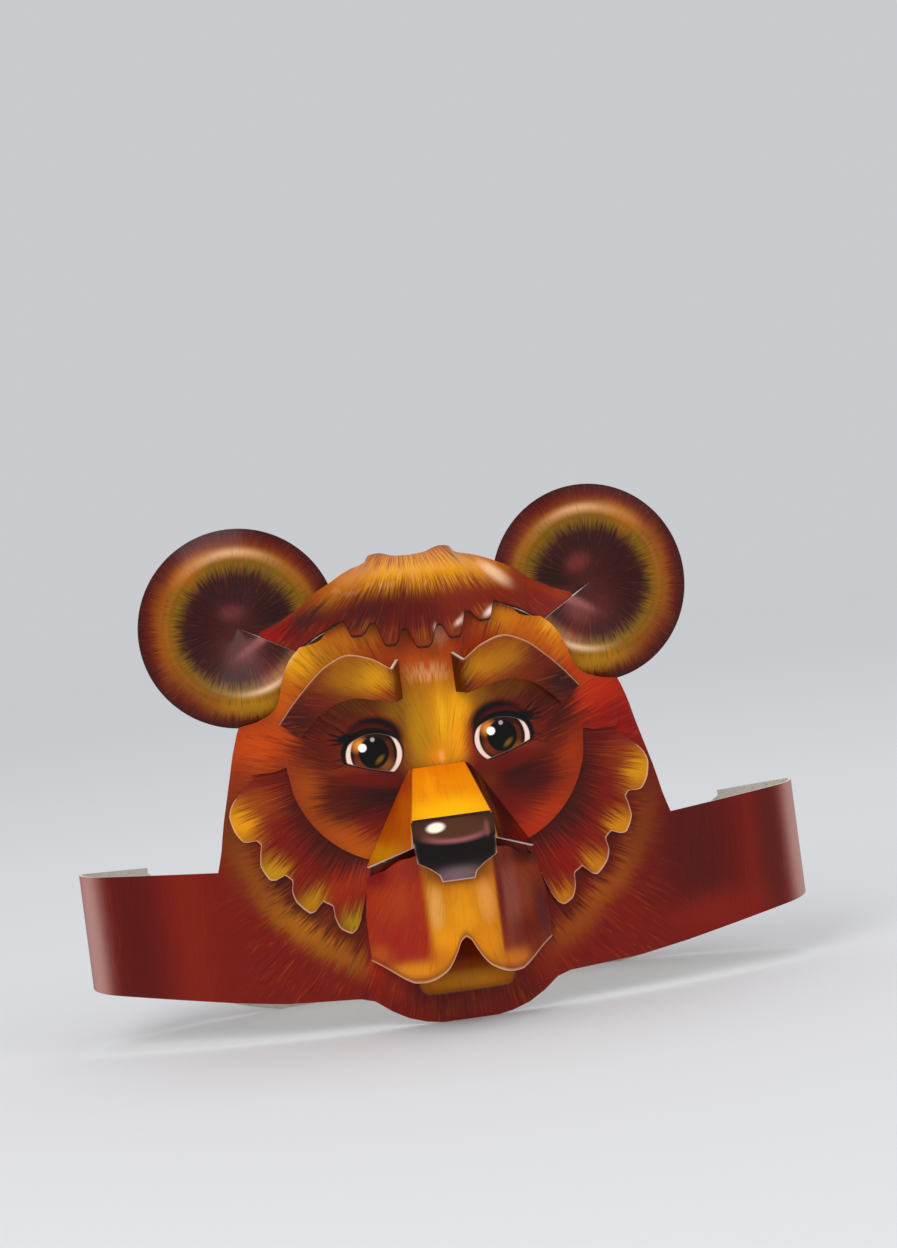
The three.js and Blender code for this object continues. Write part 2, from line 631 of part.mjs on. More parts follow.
// The chin and the strap both rest on the floor, so the face leans back a little.
const mask = new THREE.Group();
mask.name = "bear_mask";
mask.rotation.x = -LEAN;
mask.position.z = -LOOP_HALF_DEPTH * Math.sin(LEAN);
mask.updateMatrixWorld(true);

const wasm = await Module();
wasm.setup();

function solidOf(geometry) {
  const plain = geometry.clone();
  plain.deleteAttribute("normal");
  plain.deleteAttribute("uv");
  const merged = mergeVertices(plain, 1e-4);
  return new wasm.Manifold(
    new wasm.Mesh({
      numProp: 3,
      vertProperties: merged.attributes.position.array,
      triVerts: new Uint32Array(merged.index.array),
    }),
  );
}

// Cuts a sheet's lower edge level where it meets the floor.
function levelled(mesh) {
  const depth = 20;
  const below = new THREE.BoxGeometry(4 * LOOP_HALF_WIDTH, 8 * LOOP_HALF_DEPTH, depth);
  below.translate(0, 0, -depth / 2);
  below.applyMatrix4(mask.matrixWorld.clone().invert());
  const cut = solidOf(mesh.geometry).subtract(solidOf(below)).getMesh();
  const geometry = new THREE.BufferGeometry();
  geometry.setAttribute("position", new THREE.BufferAttribute(new Float32Array(cut.vertProperties), 3));
  geometry.setIndex(new THREE.BufferAttribute(new Uint32Array(cut.triVerts), 1));
  geometry.computeVertexNormals();
  mesh.geometry = geometry;
  return mesh;
}

mask.add(levelled(faceBand()));
mask.add(levelled(backStrap()));
mask.add(crown());
mask.add(disc(ear("ear_left", -1), 0x5a2016));
mask.add(disc(ear("ear_right", 1), 0x5a2016));
mask.add(brow("brow_left", -1));
mask.add(brow("brow_right", 1));
mask.add(ruff("ruff_left", -1));
mask.add(ruff("ruff_right", 1));
mask.add(snoutBridge());
mask.add(nose());
mask.add(upperLip());
mask.add(lowerLip());

// The origin is on the floor, under the middle of the mask's box.
const extent = new THREE.Box3().setFromObject(mask, true);
mask.position.y = -(extent.min.y + extent.max.y) / 2;

export default mask;
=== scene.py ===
"""Folded card bear mask: the printed sheets, the floor, the light and the camera."""

import math
from contextlib import contextmanager

import bpy
import numpy as np
from bpy.props import FloatProperty, FloatVectorProperty, PointerProperty
from mathutils import Matrix, Vector


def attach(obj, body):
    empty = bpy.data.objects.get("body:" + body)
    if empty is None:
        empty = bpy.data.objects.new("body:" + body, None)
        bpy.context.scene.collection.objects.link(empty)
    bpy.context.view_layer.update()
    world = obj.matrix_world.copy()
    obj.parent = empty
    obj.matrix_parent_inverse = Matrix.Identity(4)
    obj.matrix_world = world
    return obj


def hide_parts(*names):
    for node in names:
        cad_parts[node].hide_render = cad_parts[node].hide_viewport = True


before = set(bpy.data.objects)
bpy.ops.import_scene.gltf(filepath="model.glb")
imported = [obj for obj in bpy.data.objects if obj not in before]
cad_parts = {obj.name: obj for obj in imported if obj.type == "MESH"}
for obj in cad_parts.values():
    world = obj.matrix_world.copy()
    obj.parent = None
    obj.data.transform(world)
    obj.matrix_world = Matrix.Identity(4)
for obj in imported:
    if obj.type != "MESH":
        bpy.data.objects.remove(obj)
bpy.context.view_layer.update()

bl_info = {
    "name": "Card bear mask",
    "version": (1, 0, 0),
    "blender": (4, 5, 0),
    "location": "View3D > Sidebar > Bear mask",
    "description": "Builds a folded card bear mask with its print, floor, light and camera",
    "category": "Add Mesh",
}

# Metres in a millimetre, and millimetres in one unit of the print's maps.
MM = 0.001
PRINT_UNIT = 100

# Sizes in millimetres, square to the face: X across, -Y the front, Z up from the chin.
CARD = 1.0
SEAT = 0.3
STEP = CARD + SEAT
HALF_WIDTH, HALF_DEPTH, TURN_RADIUS = 133.0, 38.0, 15.0
FACE_HALF, FACE_HEIGHT, FACE_LIFT = 83.0, 150.0, 2 * STEP
CHEEK_RADIUS, CHEEK_ACROSS, CHEEK_UP = 39.3, 14.3, 98.0
CHEEK_SLIT_IN, CHEEK_FALL, CHEEK_SLIT_OUT, CHEEK_LAP = 22.0, 63.5, 67.5, 1.1
BAND_SLIT, BAND_FADE = 22.0, 14.0
STRAP_HEIGHT, STRAP_LOW, STRAP_FLAT, TONGUE = 40.0, 6.0, 60.0, 18.0
EAR_RADIUS, EAR_ACROSS, EAR_UP, EAR_CREASE = 35.95, 64.5, 150.0, 25.5
EAR_DEPTH, EAR_RIM_TURN, EAR_SLIT_TURN = 6.0, 3.5, 210.0
EAR_HUB, EAR_LAP, EAR_HUB_GAP = 10.0, 9.0, 1.5
CROWN_HALF, CROWN_TOP, CROWN_PROUD, CROWN_BACK = 57.0, 170.0, 7.0, 15.0
BROW_HALF, BROW_PROUD = 54.5, 9.0
RUFF_REACH, RUFF_CURL = 65.5, 2.6
LIP_HALF, LIP_HEIGHT, LIP_PROUD = 32.5, 62.0, 25.5
MOUTH_HALF, MOUTH_PROUD, MOUTH_LOW, MOUTH_HIGH = 17.5, 10.0, 11.0, 34.0
MOUTH_CORNER, MOUTH_CORNER_UP, MOUTH_BOW = 0.8, 3.5, 2.5
SNOUT_TOP, SNOUT_FOLD, SNOUT_PROUD = 91.5, 74.5, 30.3
NOSE_HALF, NOSE_PROUD, NOSE_LOW, NOSE_FLAP = 14.5, SNOUT_PROUD + STEP - 0.2, 60.0, 52.0
BAND_TIP, BAND_END = (26.0, 68.0), (24.5, 66.0)

TURN_ACROSS = HALF_WIDTH - TURN_RADIUS
TURN_IN = HALF_DEPTH - TURN_RADIUS
ARC_BACK = (TURN_ACROSS**2 - TURN_IN**2) / (2 * TURN_IN)
ARC_RADIUS = ARC_BACK + HALF_DEPTH
ARC_ANGLE = math.atan2(TURN_ACROSS, ARC_BACK)
ARC_RUN = ARC_RADIUS * ARC_ANGLE
TURN_RUN = TURN_RADIUS * (math.pi - 2 * ARC_ANGLE)
HALF_RUN = 2 * ARC_RUN + TURN_RUN
BAND_RUN = ARC_RUN + TURN_RUN + 16
SLIT_START, SLIT_END = BAND_RUN - 10, BAND_RUN - 3.5
FACE_RUN = ARC_RADIUS * math.asin(FACE_HALF / ARC_RADIUS)

# The mask leans back until chin and strap both rest on the floor, with its box centred on the origin.
LEAN = math.atan2(STRAP_LOW, 2 * HALF_DEPTH)
STAND = Matrix.Translation((0, 11.441, -HALF_DEPTH * math.sin(LEAN))) @ Matrix.Rotation(-LEAN, 4, "X")


def rows_of(names, *rows):
    return [dict(zip(names, row)) for row in rows]


# Shares of FACE_HALF and FACE_HEIGHT.
FACE_LOW = rows_of(
    ("at", "low"),
    (0, -0.002), (0.1, -0.002), (0.19, 0.006), (0.265, 0.02), (0.335, 0.042),
    (0.4, 0.07), (0.46, 0.08), (0.78, 0.09), (1, 0.107),
)
FACE_HIGH = rows_of(
    ("at", "high"),
    (0, 1), (0.36, 1), (0.41, 0.96), (0.43, 0.947), (0.458, 0.941), (0.524, 0.935),
    (0.57, 0.912), (0.6, 0.885), (0.62, 0.858), (0.635, 0.825), (0.652, 0.8), (0.69, 0.783),
    (0.753, 0.77), (0.831, 0.762), (0.904, 0.633), (0.952, 0.533), (0.976, 0.467), (1, 0.423),
)
# Shares of CROWN_HALF and CROWN_TOP.
FRINGE = rows_of(
    ("at", "low"),
    (0, 0.791), (0.11, 0.834), (0.205, 0.803), (0.295, 0.854), (0.41, 0.831),
    (0.488, 0.867), (0.65, 0.8425), (0.8, 0.812), (1, 0.824),
)
HAIR_TOP = rows_of(
    ("at", "high"),
    (0, 0.988), (0.09, 0.99), (0.2, 1), (0.25, 0.998), (0.285, 0.984), (0.4, 0.972),
    (0.5, 0.957), (0.63, 0.935), (0.72, 0.912), (0.82, 0.893), (0.92, 0.876), (1, 0.868),
)
# Shares of BROW_HALF and FACE_HEIGHT, from the outer end to the inner fold.
BROW = rows_of(
    ("at", "low_across", "low", "high_across", "high", "proud"),
    (0, 0.872, 0.72, 1, 0.76, 0),
    (0.15, 0.78, 0.755, 0.9, 0.803, 0.35),
    (0.3, 0.69, 0.78, 0.78, 0.847, 0.62),
    (0.45, 0.6, 0.793, 0.66, 0.883, 0.82),
    (0.6, 0.5, 0.798, 0.52, 0.903, 0.95),
    (0.8, 0.37, 0.788, 0.38, 0.89, 1),
    (1, 0.24, 0.777, 0.24, 0.857, 0.92),
)
# Degrees below level, and shares of RUFF_REACH.
RUFF = rows_of(
    ("at", "reach"),
    (-5, 0.7), (0.5, 0.748), (6, 0.86), (11, 0.955), (14, 0.98), (18, 0.985), (22.5, 0.97),
    (23.7, 0.945), (24.6, 0.905), (26.5, 0.895), (29, 0.925), (33, 0.97), (37.5, 0.98),
    (39.2, 0.955), (40.2, 0.905), (43, 0.9), (46, 0.955), (49.5, 0.985), (54, 0.995),
    (55.4, 0.97), (56.2, 0.905), (59.5, 0.905), (62.5, 0.97), (65.5, 1.01), (68.3, 1.015),
    (69.8, 0.985), (70.4, 0.93),
)
# Shares of LIP_HALF, LIP_HEIGHT and LIP_PROUD.
LIP = rows_of(
    ("at", "low", "high", "proud"),
    (0, 0.51, 1, 1), (0.05, 0.49, 1, 1), (0.11, 0.43, 1, 0.998), (0.17, 0.375, 1, 0.995),
    (0.24, 0.33, 1, 0.99), (0.33, 0.3, 1, 0.975), (0.42, 0.28, 1, 0.92), (0.5, 0.272, 0.99, 0.83),
    (0.57, 0.272, 0.985, 0.72), (0.66, 0.29, 0.965, 0.58), (0.76, 0.325, 0.93, 0.42),
    (0.88, 0.37, 0.91, 0.24), (1, 0.41, 0.89, 0.105),
)
# Millimetres, and the share of SNOUT_PROUD, from the brow down to the wing's corner.
SNOUT = rows_of(
    ("at", "ridge", "ridge_up", "proud", "foot", "foot_up"),
    (0, 9, SNOUT_TOP, 0, 10.8, 91.2), (0.32, 11.3, 83, 0.5, 17, 81),
    (0.64, 13.6, SNOUT_FOLD, 1, 23.5, 70), (1, 14.6, 65.2, 0.93, 30, 58.8),
)
# Shares of NOSE_HALF, millimetres, and how far the front bows.
NOSE = rows_of(
    ("at", "half", "up", "proud", "bow"),
    (0, 0.4, NOSE_FLAP, LIP_PROUD + STEP + 0.1, 0), (0.2, 0.47, 54.8, LIP_PROUD + STEP + 1.5, 0.2),
    (0.4, 0.7, 57.6, LIP_PROUD + STEP + 3, 0.5), (0.6, 0.97, NOSE_LOW, NOSE_PROUD, 1),
    (0.8, 1, 67, NOSE_PROUD, 1), (1, 1, SNOUT_FOLD - 0.4, NOSE_PROUD, 0.6),
)


def read(rows, column, x):
    return np.interp(x, [row["at"] for row in rows], [row[column] for row in rows])


def curve(rows, column, x):
    """As read(), along a smooth curve that turns only at the rows."""
    at = np.array([row["at"] for row in rows], float)
    value = np.array([row[column] for row in rows], float)
    step, chord = np.diff(at), np.diff(value) / np.diff(at)
    same = chord[1:] * chord[:-1] > 0
    slope = np.where(same, 2 * chord[1:] * chord[:-1] / np.where(same, chord[1:] + chord[:-1], 1), 0)
    slope = np.concatenate([chord[:1], slope, chord[-1:]])
    i = np.clip(np.searchsorted(at, x, side="right") - 1, 0, len(at) - 2)
    t = clamp((x - at[i]) / step[i])
    ends = value[i] * (1 + 2 * t) * (1 - t) ** 2 + value[i + 1] * t * t * (3 - 2 * t)
    return ends + step[i] * (slope[i] * t * (1 - t) ** 2 - slope[i + 1] * t * t * (1 - t))


def mix(a, b, t):
    return a + (b - a) * t


def clamp(t):
    return np.clip(t, 0.0, 1.0)


def smooth(t):
    return clamp(t) ** 2 * (3 - 2 * clamp(t))


def run_of(x):
    return ARC_RADIUS * np.arcsin(np.asarray(x, float) / ARC_RADIUS)


def on_loop(run, z, out):
    """A point on the head loop, at a run from the front middle, moved outwards."""
    run, z, out = np.broadcast_arrays(np.asarray(run, float), z, out)
    r = np.abs(run)
    front, back = r / ARC_RADIUS, (HALF_RUN - r) / ARC_RADIUS
    turn = ARC_ANGLE + (r - ARC_RUN) / TURN_RADIUS
    where = [r <= ARC_RUN, r <= ARC_RUN + TURN_RUN]
    nx = np.select(where, [np.sin(front), np.sin(turn)], np.sin(back))
    ny = np.select(where, [-np.cos(front), -np.cos(turn)], np.cos(back))
    x = np.select(where, [ARC_RADIUS * nx, TURN_ACROSS + TURN_RADIUS * nx], ARC_RADIUS * nx)
    y = np.select(where, [ARC_BACK + ARC_RADIUS * ny, TURN_RADIUS * ny], ARC_RADIUS * ny - ARC_BACK)
    side = np.where(run < 0, -1.0, 1.0)
    return np.stack([side * (x + nx * out), y + ny * out, z], axis=-1)


def over(x, z, proud):
    """A point over the front arc, proud of the bands."""
    x, z, proud = np.broadcast_arrays(np.asarray(x, float), z, proud)
    return np.stack([x, ARC_BACK - np.sqrt(ARC_RADIUS**2 - x**2) - proud, z], axis=-1)


def spread(stops, gap):
    """Positions through all the stops, no further apart than the gap."""
    out = [stops[0]]
    for a, b in zip(stops, stops[1:]):
        count = max(1, math.ceil(abs(b - a) / gap))
        out.extend(a + (b - a) * (i + 1) / count for i in range(count))
    return np.array(out, float)


def both_sides(half):
    return np.concatenate([-half[half > 1e-9][::-1], half])


def across_sheet(count):
    """Shares from one long edge of a sheet to the other, one to each row of points."""
    return np.linspace(0, 1, count)[None, :]


def plane(x, z):
    return np.stack(np.broadcast_arrays(x, z), axis=-1)


def front_of(points):
    return plane(points[..., 0], points[..., 2])


def pair(kind):
    """The names and sides of two like pieces."""
    return (kind + "_left", -1), (kind + "_right", 1)


# Colour and print


def colour(code):
    """Linear light from a six-digit screen colour."""
    parts = np.array([int(code[i : i + 2], 16) / 255 for i in (0, 2, 4)])
    return np.where(parts <= 0.04045, parts / 12.92, ((parts + 0.055) / 1.055) ** 2.4)


def dabbed(flat, ground, dabs):
    """Soft brush dabs over a ground colour."""
    out = np.empty(flat.shape[:-1] + (3,))
    out[:] = colour(ground)
    return shone(out, flat, dabs)


def shone(out, flat, dabs):
    """Lays dabs over colours. A dab: x, z, half width, half height, turn, colour, strength."""
    for x, z, wide, high, turn, code, strength in dabs:
        a = math.radians(turn)
        dx, dz = flat[..., 0] - x, flat[..., 1] - z
        u = (dx * math.cos(a) + dz * math.sin(a)) / wide
        v = (dz * math.cos(a) - dx * math.sin(a)) / high
        weight = strength * np.exp(-((u * u + v * v) ** 1.4))
        out = out + (colour(code) - out) * weight[..., None]
    return out


def furred(flat, centre, painter, reach, shine=()):
    """The paint a little way in and out along fur that fans out from a centre, with smooth shine over it."""
    away = flat - np.array(centre)
    away = away / np.maximum(np.linalg.norm(away, axis=-1, keepdims=True), 1e-6)
    return tuple(shone(painter(flat + away * shift), flat, shine) for shift in (-reach, reach))


def pale_edge(paint, away, wide=0.6):
    """A pale line of bared card along a cut edge, from the distance to that edge."""
    return mix(paint, colour("E0B8A0"), 0.75 * smooth(1.3 - away / wide)[..., None])


def fan(flat, x, z, reach=45.0):
    """Fur that fans out from a point: across the hairs, and along them."""
    dx, dz = flat[..., 0] - x, flat[..., 1] - z
    return plane(np.arctan2(dx, dz) * reach, np.hypot(dx, dz))


class Ink:
    """Builds one printed material, layer on layer."""

    def __init__(self, name):
        self.material = bpy.data.materials.new(name)
        self.material.use_nodes = True
        self.tree = self.material.node_tree
        self.shader = self.tree.nodes["Principled BSDF"]
        self.flat = self.node("ShaderNodeUVMap", uv_map="print").outputs[0]
        self.fur = self.node("ShaderNodeUVMap", uv_map="fur").outputs[0]

    def node(self, kind, sockets=None, **settings):
        made = self.tree.nodes.new(kind)
        for key, value in settings.items():
            setattr(made, key, value)
        return self.feed(made, sockets or {})

    def feed(self, node, sockets):
        """Sets sockets to a number or a colour, or joins them to another node's output."""
        for key, value in sockets.items():
            if isinstance(value, bpy.types.NodeSocket):
                self.tree.links.new(value, node.inputs[key])
            else:
                node.inputs[key].default_value = (*colour(value), 1) if isinstance(value, str) else value
        return node

    def attribute(self, name, output="Color"):
        made = self.node("ShaderNodeAttribute", attribute_name=name, attribute_type="GEOMETRY")
        return made.outputs[output]

    def moved(self, vector, kind, location, turn, scale):
        sockets = {"Vector": vector, "Location": location, "Rotation": (0, 0, turn), "Scale": scale}
        return self.node("ShaderNodeMapping", sockets, vector_type=kind).outputs[0]

    def length(self, vector):
        return self.node("ShaderNodeVectorMath", {0: vector}, operation="LENGTH").outputs["Value"]

    def ramp(self, value, low, high, to_low=0.0, to_high=1.0):
        sockets = {"Value": value, "From Min": low, "From Max": high, "To Min": to_low, "To Max": to_high}
        return self.node("ShaderNodeMapRange", sockets, interpolation_type="SMOOTHSTEP").outputs[0]

    def maths(self, kind, a, b):
        return self.node("ShaderNodeMath", {0: a, 1: b}, operation=kind).outputs[0]

    def times(self, a, b):
        return self.maths("MULTIPLY", a, b)

    def hairs(self, across, along, detail, seed, warp):
        """Streaks that follow the fur: how many across and along in 10 mm."""
        place = self.moved(self.fur, "POINT", (seed, seed * 0.7, 0), 0, (across * 10, along * 10, 1))
        sockets = {"Vector": place, "Scale": 1.0, "Detail": detail, "Roughness": 0.6, "Distortion": warp}
        return self.node("ShaderNodeTexNoise", sockets, noise_dimensions="2D").outputs["Fac"]

    def over(self, under, top, mask):
        """One colour over another, where the mask says."""
        sockets = {"A": under, "B": top, "Factor": mask}
        return self.node("ShaderNodeMix", sockets, data_type="RGBA", clamp_factor=True).outputs["Result"]

    def spot(self, x, z, wide, high, turn, soft):
        """An oval on the flat print, in millimetres and degrees."""
        at, size = (x / PRINT_UNIT, z / PRINT_UNIT, 0), (wide / PRINT_UNIT, high / PRINT_UNIT, 1)
        oval = self.length(self.moved(self.flat, "TEXTURE", at, math.radians(turn), size))
        return self.ramp(oval, 1 + soft, 1 - soft)


def printed_card(name, gloss, across=20.0, along=0.9, contrast=1.0, marks=None):
    """Glossy printed card. Fine hairs mix the two painted colours, so that zones meet in fur."""
    ink = Ink(name)
    broad = ink.hairs(across * 0.45, along * 0.6, 2.0, 3.1, 0.5)
    fine = ink.hairs(across, along, 3.0, 7.7, 0.8)
    blend = ink.maths("ADD", ink.times(broad, 0.35), ink.times(fine, 0.65))
    result = ink.over(ink.attribute("paint"), ink.attribute("tint"), ink.ramp(blend, 0.4, 0.6))
    furry = ink.attribute("paint", "Alpha")
    dark = ink.times(ink.ramp(blend, 0.5, 0.3, 0.0, 0.36 * contrast), furry)
    light = ink.times(ink.ramp(fine, 0.54, 0.76, 0.0, 0.17 * contrast), furry)
    result = ink.over(ink.over(result, "1E0805", dark), "E08040", light)
    if marks:
        result = marks(ink, result)
    deep = ink.node("ShaderNodeGamma", {"Color": result, "Gamma": 1.12}).outputs[0]
    rich = ink.node("ShaderNodeHueSaturation", {"Color": deep, "Saturation": 1.06, "Value": 1.28}).outputs[0]
    bump = ink.node("ShaderNodeBump", {"Height": fine, "Strength": 0.06, "Distance": 0.0002}).outputs[0]
    ink.feed(ink.shader, {
        "Base Color": rich, "Normal": bump, "Roughness": 0.38, "Specular IOR Level": 0.12,
        "Coat Weight": gloss, "Coat Roughness": 0.14, "Coat IOR": 1.45,
    })
    return ink.material


def plain_card(name, code, roughness, fibre):
    """Unprinted card: the back, or a cut edge."""
    made = bpy.data.materials.get(name)
    if made:
        return made
    ink = Ink(name)
    place = ink.node("ShaderNodeTexCoord").outputs["Object"]
    noise = ink.node("ShaderNodeTexNoise", {"Vector": place, "Scale": fibre, "Detail": 5.0}).outputs["Fac"]
    fibres = ink.over(code, "8E857A", ink.ramp(noise, 0.45, 0.8, 0.0, 0.35))
    ink.feed(ink.shader, {"Base Color": fibres, "Roughness": roughness})
    return ink.material


# Making a sheet


def deselect():
    if bpy.context.object and bpy.context.object.mode != "OBJECT":
        bpy.ops.object.mode_set(mode="OBJECT")
    bpy.ops.object.select_all(action="DESELECT")


@contextmanager
def edit_mode(select="SELECT"):
    """Edit mode, with all selected, all deselected, or the selection as it was."""
    bpy.ops.object.mode_set(mode="EDIT")
    if select:
        bpy.ops.mesh.select_all(action=select)
    yield
    bpy.ops.object.mode_set(mode="OBJECT")


def by_point(values):
    """From columns and rows to the grid's own order of points."""
    return values.transpose(1, 0, 2).reshape(-1, values.shape[2])


def card_sheet(
    name, points, flat, fur, paint, tint, material, cut=None, level=False, edge_in_shade=None, furry=1.0
):
    """A grid is laid, bent to its place, slit, thickened to card and printed on its front.

    points, flat, fur, paint and tint run over columns and rows: the middle of the sheet and its place on the
    flat print in millimetres, the direction of the fur, and the two colours of the fur. cut marks the cells
    that are cut out, furry says how strongly the hairs show, and the edge test picks the cut edges that are
    painted dark as shade.
    """
    deselect()
    columns, rows = points.shape[:2]
    bpy.ops.mesh.primitive_grid_add(x_subdivisions=columns - 1, y_subdivisions=rows - 1, size=0.1)
    piece = bpy.context.object
    piece.name = piece.data.name = name
    mesh = piece.data
    turn, shift = np.array(STAND)[:3, :3], np.array(STAND)[:3, 3]
    mesh.vertices.foreach_set("co", ((by_point(points) @ turn.T + shift) * MM).ravel())
    corner = np.empty(len(mesh.loops), dtype=int)
    mesh.loops.foreach_get("vertex_index", corner)
    while mesh.uv_layers:
        mesh.uv_layers.remove(mesh.uv_layers[0])
    for layer, values in (("print", flat), ("fur", fur)):
        uv = (by_point(values) / PRINT_UNIT)[corner]
        mesh.uv_layers.new(name=layer).data.foreach_set("uv", uv.ravel())
    strength = np.broadcast_to(furry, (columns, rows)).T.ravel()
    for layer, values in (("paint", paint), ("tint", tint)):
        data = mesh.attributes.new(layer, "FLOAT_COLOR", "POINT").data
        data.foreach_set("color", np.column_stack([by_point(values), strength]).ravel())
    mesh.update()
    if cut is not None:
        with edit_mode("DESELECT"):
            bpy.ops.mesh.select_mode(type="FACE")
        mesh.polygons.foreach_set("select", cut.T.ravel())
    with edit_mode(None):
        if cut is not None:
            bpy.ops.mesh.delete(type="FACE")
        bpy.ops.mesh.select_all(action="SELECT")
        bpy.ops.mesh.remove_doubles(threshold=0.00002)
    thick = piece.modifiers.new("Card", "SOLIDIFY")
    thick.thickness = CARD * MM
    thick.offset = 0
    thick.material_offset = 1
    thick.material_offset_rim = edge_slot = 2
    mesh.materials.append(material)
    mesh.materials.append(plain_card("card back", "CFC8BE", 0.75, 900.0))
    mesh.materials.append(plain_card("cut edge", "E9DCD4", 0.8, 1500.0))
    bpy.ops.object.modifier_apply(modifier=thick.name)
    if edge_in_shade is not None:
        # Cut edges in shadow get dark card instead of the pale core: painted shade.
        mesh.materials.append(plain_card("cut edge in shade", "5A2A20", 0.8, 1500.0))
        back = np.linalg.inv(turn)
        for face in mesh.polygons:
            if face.material_index == edge_slot:
                x, _, z = back @ (np.array(face.center) / MM - shift)
                if edge_in_shade(x, z):
                    face.material_index = edge_slot + 1
    if level:
        with edit_mode():
            bpy.ops.mesh.bisect(
                plane_co=(0, 0, 0), plane_no=(0, 0, 1), clear_inner=True, use_fill=True, threshold=1e-6
            )
    bpy.ops.object.shade_smooth_by_angle(angle=math.radians(38))
    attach(piece, "root")
    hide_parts(name)


# The pieces


def cheek_line(x):
    a = np.minimum(np.abs(x), CHEEK_ACROSS + CHEEK_RADIUS)
    inner = np.maximum(a, CHEEK_SLIT_IN)
    return CHEEK_UP - np.sqrt(np.maximum(0, CHEEK_RADIUS**2 - (inner - CHEEK_ACROSS) ** 2))


def band_edge(r, rows, column, tip_value, end_value):
    tip = ARC_RUN + TURN_RUN / 2
    x = ARC_RADIUS * np.sin(np.minimum(r, FACE_RUN) / ARC_RADIUS)
    on_face = read(rows, column, x / FACE_HALF) * FACE_HEIGHT
    last = rows[-1][column] * FACE_HEIGHT
    on_band = mix(last, tip_value, (r - FACE_RUN) / (tip - FACE_RUN))
    on_end = mix(tip_value, end_value, (r - tip) / (BAND_RUN - tip))
    return np.select([r > tip, r > FACE_RUN], [on_end, on_band], on_face)


def face_low(r):
    return band_edge(r, FACE_LOW, "low", BAND_TIP[0], BAND_END[0])


def face_high(r):
    return band_edge(r, FACE_HIGH, "high", BAND_TIP[1], BAND_END[1])


# Cut edges along the cheek slits, which lie in shadow and are painted dark as shade.
def cheek_edge(x, z):
    return abs(x) < FACE_HALF - 6 and abs(z - float(cheek_line(np.array(x)))) < 1.5


def face_grid(under_rows, upper_rows):
    """Middle of the face and bands: columns along the run, rows under and above the cheek cuts."""
    stops = (0, CHEEK_SLIT_IN, CHEEK_ACROSS + CHEEK_RADIUS, CHEEK_FALL, CHEEK_SLIT_OUT, FACE_HALF)
    stops = [float(run_of(x)) for x in stops] + [ARC_RUN, ARC_RUN + TURN_RUN, SLIT_START, SLIT_END, BAND_RUN]
    half = spread(stops, 1.15)
    run = both_sides(half)[:, None]
    r = np.abs(run)
    x = ARC_RADIUS * np.sin(np.minimum(r, ARC_RUN) / ARC_RADIUS)
    low, high = face_low(r), face_high(r)
    middle = (low + high) / 2
    line = np.minimum(cheek_line(x), high - 8)
    gap = np.where((x > CHEEK_SLIT_IN + 0.05) & (x < CHEEK_SLIT_OUT - 0.05), SEAT / 2, 0)
    edge = FACE_LIFT * clamp((CHEEK_SLIT_OUT - x) / (CHEEK_SLIT_OUT - CHEEK_FALL))
    top = FACE_LIFT * smooth((high - CHEEK_UP) / 12)
    t = across_sheet(under_rows)
    slit = BAND_SLIT / 2
    under_face = mix(low, line - gap, t)
    under_band = np.where(t < 0.5, mix(low, middle - slit, t * 2), mix(middle - slit, middle, t * 2 - 1))
    on_band = smooth((r - FACE_RUN) / BAND_FADE)
    under_z = mix(under_face, under_band, on_band)
    lip = np.where(x < CHEEK_SLIT_IN + 0.05, edge, 0)
    under_lift = lip * clamp((t - 0.55) / 0.45) * (r < FACE_RUN)
    t = across_sheet(upper_rows)
    # The upper sheet laps over the slit's end, so that nothing shows through it.
    lap = CHEEK_LAP * clamp((CHEEK_SLIT_OUT - x) / 1.2) * clamp((x - 54) / 4)
    upper_face = mix(line + gap - lap, high, t)
    upper_band = np.where(t < 0.5, mix(middle, middle + slit, t * 2), mix(middle + slit, high, t * 2 - 1))
    upper_z = mix(upper_face, upper_band, on_band)
    upper_lift = mix(edge, top, np.interp(t, [0, 0.45, 1], [0, 0.8, 1])) * (r < FACE_RUN)
    z = np.concatenate([under_z, upper_z], axis=1)
    lift = np.concatenate([under_lift, upper_lift], axis=1)
    points = on_loop(np.broadcast_to(run, z.shape), z, lift)
    cut = np.zeros((len(run) - 1, under_rows + upper_rows - 1), bool)
    cut[:, under_rows - 1] = True
    centre = np.abs((run[1:] + run[:-1]) / 2)[:, 0]
    in_slit = (centre > SLIT_START) & (centre < SLIT_END)
    cut[np.ix_(in_slit, range((under_rows - 1) // 2, under_rows + upper_rows // 2 - 1))] = True
    return points, plane(run, z), cut


class MaskStep:
    """One step of the making, which builds its pieces from the panel's settings."""

    bl_options = {"REGISTER", "UNDO"}

    def execute(self, context):
        self.build(context.scene.bear_mask)
        return {"FINISHED"}


class BEARMASK_OT_face(MaskStep, bpy.types.Operator):
    """The face and its side bands in one sheet"""

    bl_idname = "bear_mask.face"
    bl_label = "Face and bands"

    def build(self, sizes):
        points, flat, cut = face_grid(45, 61)
        ground, tint = furred(flat, (1, 84), lambda at: dabbed(at, "7A221A", FACE_DABS), 1.5, FACE_SHINE)
        x, z = np.abs(flat[..., 0]), flat[..., 1]
        fur = mix(fan(flat, 1, 84), flat, smooth((x - 84) / 8)[..., None])
        from_cheek = np.hypot(x - CHEEK_ACROSS, z - CHEEK_UP)
        cheek = smooth((CHEEK_RADIUS + 1 - from_cheek) / 4) * smooth((100 - z) / 8)
        furry = 1 - 0.8 * smooth((x - 66) / 18) - 0.6 * cheek
        material = printed_card("face print", sizes.gloss, marks=eyes)
        card_sheet(
            "face_band", points, flat, fur, ground, tint, material, cut, True, cheek_edge, furry
        )


